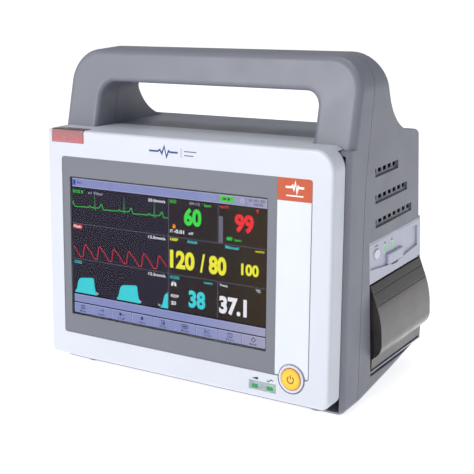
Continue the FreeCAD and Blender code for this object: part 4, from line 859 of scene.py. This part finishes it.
def printer_marks():
    """Symbols over the feed key and lamps, and a painted pale green glow of light round each lamp."""
    lamp_low, lamp_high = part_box("printer_lamps")
    ink = film("ink_printer", "4A4C58", 0.4)
    face = side_face("printer_lamps", lamp_high.x)
    apart = (lamp_high.y - lamp_low.y) / 2 / MM - 0.75
    tall = (lamp_high.z - lamp_low.z) / 2 / MM
    marks = Marks(face)
    for side in (-1, 1):
        marks.rect(side * apart - 1.5, tall + 2.0, side * apart + 1.5, tall + 2.9, 0.3)
        marks.rect(side * apart - 0.5, tall + 2.9, side * apart + 0.5, tall + 3.5)
    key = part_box("feed_key")
    key_u = ((key[0].y + key[1].y) / 2 - face.origin.y) / MM
    key_v = (key[1].z - face.origin.z) / MM + 2.6
    marks.stroke([(key_u - 3.0, key_v), (key_u + 1.0, key_v)], 0.7)
    marks.poly([(key_u + 0.8, key_v - 1.0), (key_u + 2.8, key_v), (key_u + 0.8, key_v + 1.0)])
    marks.piece("printer_symbols", *PRINT, ink, slot="printer_white")
    # Painted light: a faintly glowing ring on the panel round each lamp stands for the lamp's light spilling onto
    # it.
    painted_glow = Marks(face)
    for side in (-1, 1):
        corners = [(side * apart + u * 1.5, v * (tall + 0.75))
                   for u, v in ((-1, -1), (1, -1), (1, 1), (-1, 1))]
        painted_glow.stroke(corners, 1.1, closed=True)
    green = glowing("painted_lamp_glow", "B8D8C2", "9FE0B0", 0.12)
    painted_glow.piece("printer_painted_lamp_glow", -0.02, 0.03, green, slot="printer_white")


def port_centres():
    """Name, centre and radius in metres of each patient socket on the left side."""
    found = []
    for node, names in (("sensor_ports", ("heart", "finger")), ("gas_port", ("gas",)),
                        ("cuff_port", ("cuff",)),
                        ("temperature_ports", ("warmth_1", "warmth_2"))):
        low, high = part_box(node)
        radius = (high.z - low.z) / 2
        places = (low.y + radius, high.y - radius) if len(names) == 2 else ((low.y + high.y) / 2,)
        found += [(name, y, (low.z + high.z) / 2, radius) for name, y in zip(names, places)]
    return found


def port_symbol(marks, name, u, v):
    """A small picture of what plugs in."""
    if name == "heart":
        marks.poly([(u, v - 2.4), (u + 2.4, v + 0.4), (u + 2.0, v + 1.7), (u + 1.0, v + 2.0), (u, v + 1.0),
                    (u - 1.0, v + 2.0), (u - 2.0, v + 1.7), (u - 2.4, v + 0.4)])
    elif name == "finger":
        marks.stroke([(u - 3.0, v - 1.3), (u + 1.2, v - 1.3), (u + 2.4, v - 0.6), (u + 2.4, v + 0.6),
                      (u + 1.2, v + 1.3), (u - 3.0, v + 1.3)], 0.5)
        marks.disc(u + 0.9, v, 0.5)
    elif name == "gas":
        marks.stroke([(u - 3.0, v - 1.4), (u - 2.2, v + 1.2), (u - 0.2, v + 1.5), (u + 0.2, v - 1.4),
                      (u + 1.2, v - 1.4), (u + 1.8, v + 1.2), (u + 3.2, v + 1.4)], 0.5)
    elif name == "cuff":
        marks.rect(u - 2.6, v - 1.5, u + 0.4, v + 1.5, 0.4).stroke(
            [(u + 0.4, v), (u + 1.8, v), (u + 2.2, v - 1.0), (u + 3.2, v - 1.0)], 0.5)
    else:
        marks.disc(u - 1.6, v, 1.0).rect(u - 1.2, v - 0.4, u + 2.6, v + 0.4, 0.3)


def port_marks():
    """Coloured rings round the patient sockets and symbols above them."""
    face = Face((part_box("connector_panel")[0].x, 0.0, 0.0), -BACK, RISE)
    colours = {"heart": "2F9E4F", "finger": "2C63B8", "gas": "D9A520", "cuff": "B9BCC6", "warmth_1": "7A4FA0",
               "warmth_2": "7A4FA0"}
    symbols = Marks(face)
    for name, y, z, radius in port_centres():
        u, v, wide = -y / MM, z / MM, radius / MM
        ring = film("ink_ring_" + name, colours[name], 0.4)
        Marks(face).arc(u, v, wide + 1.0, 1.2).piece(
            "port_ring_" + name, -0.02, 0.12, ring, slot="socket_grey")
        port_symbol(symbols, name, u, v + wide + 4.2)
    symbols.piece("port_symbols", *THICK_PRINT, film("ink_port", "3A3C44", 0.4), slot="case_grey")


def back_face(node, y):
    """A face looking out of the back, at the middle of a node."""
    return Face((middle(node, ACROSS), y, middle(node, RISE)), -ACROSS, RISE)


PLATE_APART = 45 * MM


def back_marks():
    """Symbols at the sockets of the back, a blank rating plate and the battery cover's grip."""
    ink = film("ink_back", "D8DAE0", 0.4)
    plate_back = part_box("rear_plate")[1].y
    mains = Marks(back_face("mains_inlet", plate_back))
    mains.stroke(mains_wave(0.0, 14.0, 2.2, 0.8), 0.5)
    dark = film("ink_dark_back", "25262A", 0.4)
    mains.piece("mains_symbol", *THICK_PRINT, dark, slot="sheet_steel")
    earth = Marks(back_face("earth_stud", plate_back))
    earth.stroke([(0.0, 12.4), (0.0, 10.6)], 0.4)
    for number in range(3):
        half = 1.8 - 0.6 * number
        earth.stroke([(-half, 10.6 - 0.9 * number), (half, 10.6 - 0.9 * number)], 0.4)
    earth.piece("earth_symbol", *THICK_PRINT, dark, slot="sheet_steel")
    network = Marks(back_face("network_socket", plate_back))
    for u, v in ((0.0, 12.4), (-2.2, 9.4), (2.2, 9.4)):
        network.rect(u - 0.8, v - 0.6, u + 0.8, v + 0.6)
    network.stroke([(0.0, 11.8), (0.0, 10.9)], 0.35)
    network.stroke([(-2.2, 10.0), (-2.2, 10.9), (2.2, 10.9), (2.2, 10.0)], 0.35)
    network.piece("network_symbol", *THICK_PRINT, dark, slot="sheet_steel")

    housing_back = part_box("rear_housing")[1].y
    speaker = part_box("loudspeaker")
    plate = Face((speaker[1].x + PLATE_APART, housing_back, (speaker[0].z + speaker[1].z) / 2), -ACROSS, RISE)
    blank = metal("rating_plate", "C6C8CC", 0.4, stretch=(0.04, 1.0, 1.0))
    rating = Marks(plate).rect(-27.0, -12.0, 27.0, 12.0, 2.0)
    rating.piece("rating_plate", -0.02, 0.3, blank, slot="aluminium")
    border = Marks(plate).stroke([(-25.0, -10.0), (25.0, -10.0), (25.0, 10.0), (-25.0, 10.0)],
                                 0.4, closed=True)
    border.piece("rating_plate_border", 0.28, 0.34, dark, slot="aluminium")

    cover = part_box("battery_cover")
    grip = Marks(back_face("battery_cover", cover[1].y))
    for number in range(5):
        grip.rect(-60.0, -6.0 + 3.0 * number, -44.0, -4.8 + 3.0 * number, 0.5)
    grip.poly([(-66.0, 0.0), (-63.4, -1.8), (-63.4, 1.8)])
    grip.piece("battery_grip", -0.05, 0.7, finish["case_grey"], slot="case_grey")
    cell = Marks(grip.face).rect(-4.2, -2.0, 4.2, 2.0, 0.5).rect(4.2, -0.9, 5.2, 0.9)
    cell.piece("battery_symbol", *THICK_PRINT, ink, slot="case_grey")


# ---------------------------------------------------------------- sheets of painted shade, speaker cloth and paper inside

def dark_sheet_material():
    """Black foam: open cells and a dull surface."""
    graph = Graph("dark_sheet_foam", Specular_IOR_Level=0.15)
    cells = graph.add("TexVoronoi", {"Vector": graph.place, "Scale": 1100.0}).outputs["Distance"]
    graph.feed("Base Color", graph.blend(graph.spread(cells, 0.0, 1.0, 0.0, 0.5),
                                         srgb("0A0A0B"), srgb("1C1C1F")))
    graph.feed("Roughness", graph.spread(graph.noise(600.0), 0.8, 0.95))
    graph.feed("Normal", graph.bump(cells, 0.25 * MM))
    return graph.material


SHADE_SHEET_INSIDE = 7.2 * MM
CLOTH_INSIDE = 3.2 * MM


def shade_sheets_and_cloth():
    """Black foam sheets inside the vents as painted shade, and foam behind the speaker's grille."""
    foam = dark_sheet_material()
    low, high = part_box("rear_housing")
    printer_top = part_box("printer_housing")[1].z / MM
    # Painted shade: black sheets set inside both side walls, behind the vents, where the inside would show only
    # shade.
    for name, side in (("right", 1), ("left", -1)):
        wall = (high.x if side > 0 else low.x) - side * SHADE_SHEET_INSIDE
        face = Face((wall, 0.0, 0.0), BACK * side, RISE)
        start, end = (-9.0, 62.0) if side > 0 else (-62.0, 9.0)
        sheet = Marks(face).rect(start, printer_top + 6.0, end, printer_top + 58.0, 2.0)
        sheet.piece("vent_shade_sheet_" + name, -1.2, 0.0, foam, slot="black_plastic")
    speaker_low, speaker_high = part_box("loudspeaker")
    face = Face(((speaker_low.x + speaker_high.x) / 2, high.y - CLOTH_INSIDE,
                 (speaker_low.z + speaker_high.z) / 2), -ACROSS, RISE)
    Marks(face).disc(0.0, 0.0, 18.0).piece("speaker_cloth", -0.3, 0.0, foam, slot="black_plastic")


def paper_web():
    """The strip of paper from the roll, up between head and platen and over to the door's edge."""
    roll_low, roll_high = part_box("paper_roll")
    platen_low, platen_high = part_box("platen_roller")
    roll = Vector(((roll_low.x + roll_high.x) / 2, (roll_low.z + roll_high.z) / 2)) / MM
    platen = Vector(((platen_low.x + platen_high.x) / 2, (platen_low.z + platen_high.z) / 2)) / MM
    roll_radius = (roll_high.z - roll_low.z) / 2 / MM + 0.1
    platen_radius = (platen_high.z - platen_low.z) / 2 / MM + 0.15
    nip = Vector((platen.x - platen_radius, platen.y - 3.0))
    reach = nip - roll
    turn = math.atan2(reach.y, reach.x) - math.acos(roll_radius / reach.length)
    leave = roll + Vector((math.cos(turn), math.sin(turn))) * roll_radius
    route = [leave, nip]
    for step in range(9):
        angle = math.radians(180 - 90 * step / 8)
        route.append(platen + Vector((math.cos(angle), math.sin(angle))) * platen_radius)
    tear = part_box("tear_bar")[0]
    exit_height = tear.z / MM - 0.35
    route += [Vector((platen.x + 4.0, exit_height - 0.4)), Vector((tear.x / MM + 3.0, exit_height))]
    face = Face((0.0, (roll_low.y + roll_high.y) / 2, 0.0), ACROSS, RISE)
    half = (roll_high.y - roll_low.y) / 2 / MM - 1.0
    web = Marks(face).stroke([tuple(point) for point in route], 0.12)
    web.piece("paper_web", -half, half, finish["paper"], slot="paper")


printer_marks()
port_marks()
back_marks()
shade_sheets_and_cloth()
paper_web()


# ---------------------------------------------------------------- floor, light and camera

def floor():
    """A plain pale floor, lit a little from within like a light table."""
    graph = Graph("studio_floor", Emission_Strength=0.7)
    tone = graph.blend(graph.spread(graph.noise(1.5), 0.0, 1.0), srgb("F2F2F2"), srgb("EFEFEF"))
    graph.feed("Base Color", tone)
    graph.shader.inputs["Emission Color"].default_value = (1.0, 1.0, 1.0, 1.0)
    graph.feed("Roughness", graph.spread(graph.noise(30.0), 0.7, 0.8))
    graph.feed("Normal", graph.bump(graph.noise(400.0), 0.02 * MM))
    mesh = bmesh.new()
    reach = 20.0
    mesh.faces.new([mesh.verts.new(corner + (0.0,)) for corner in
                    ((-reach, -reach), (reach, -reach), (reach, reach), (-reach, reach))])
    data = bpy.data.meshes.new("floor")
    mesh.to_mesh(data)
    mesh.free()
    data.materials.append(graph.material)
    ground = bpy.data.objects.new("floor", data)
    bpy.context.scene.collection.objects.link(ground)


def soft_light(name, place, target, size, power, colour=(1.0, 1.0, 1.0)):
    lamp = bpy.data.lights.new(name, "AREA")
    lamp.shape, lamp.size, lamp.energy, lamp.color = "DISK", size, power, colour
    item = bpy.data.objects.new(name, lamp)
    item.location = place
    item.rotation_euler = (Vector(target) - Vector(place)).to_track_quat("-Z", "Y").to_euler()
    bpy.context.scene.collection.objects.link(item)


def studio():
    world = bpy.data.worlds.new("studio")
    world.use_nodes = True
    background = world.node_tree.nodes["Background"]
    background.inputs["Color"].default_value = (0.96, 0.98, 1.0, 1.0)
    background.inputs["Strength"].default_value = 0.34
    bpy.context.scene.world = world
    aim = (0.0, 0.0, 0.12)
    soft_light("key_light", (-0.9, -2.1, 0.9), aim, 1.2, 32.0)
    soft_light("top_light", (0.2, 0.3, 2.2), aim, 1.6, 14.0)
    bpy.context.scene.view_settings.view_transform = "Standard"


def camera():
    """A camera at the photograph's viewing angle."""
    azimuth, elevation, roll = math.radians(34.07), math.radians(15.16), math.radians(-2.32)
    place = Vector((0.4875, -0.7094, 0.3403))
    ahead = Vector((-math.sin(azimuth) * math.cos(elevation), math.cos(azimuth) * math.cos(elevation),
                    -math.sin(elevation)))
    level = ahead.cross(RISE).normalized()
    above = level.cross(ahead)
    right = level * math.cos(roll) + above * math.sin(roll)
    upward = above * math.cos(roll) - level * math.sin(roll)
    data = bpy.data.cameras.new("camera")
    data.sensor_width, data.lens, data.clip_start = 36.0, 83.74, 0.01
    item = bpy.data.objects.new("camera", data)
    item.matrix_world = Matrix.Translation(place) @ Matrix((right, upward, -ahead)).transposed().to_4x4()
    bpy.context.scene.collection.objects.link(item)
    bpy.context.scene.camera = item


floor()
studio()
camera()
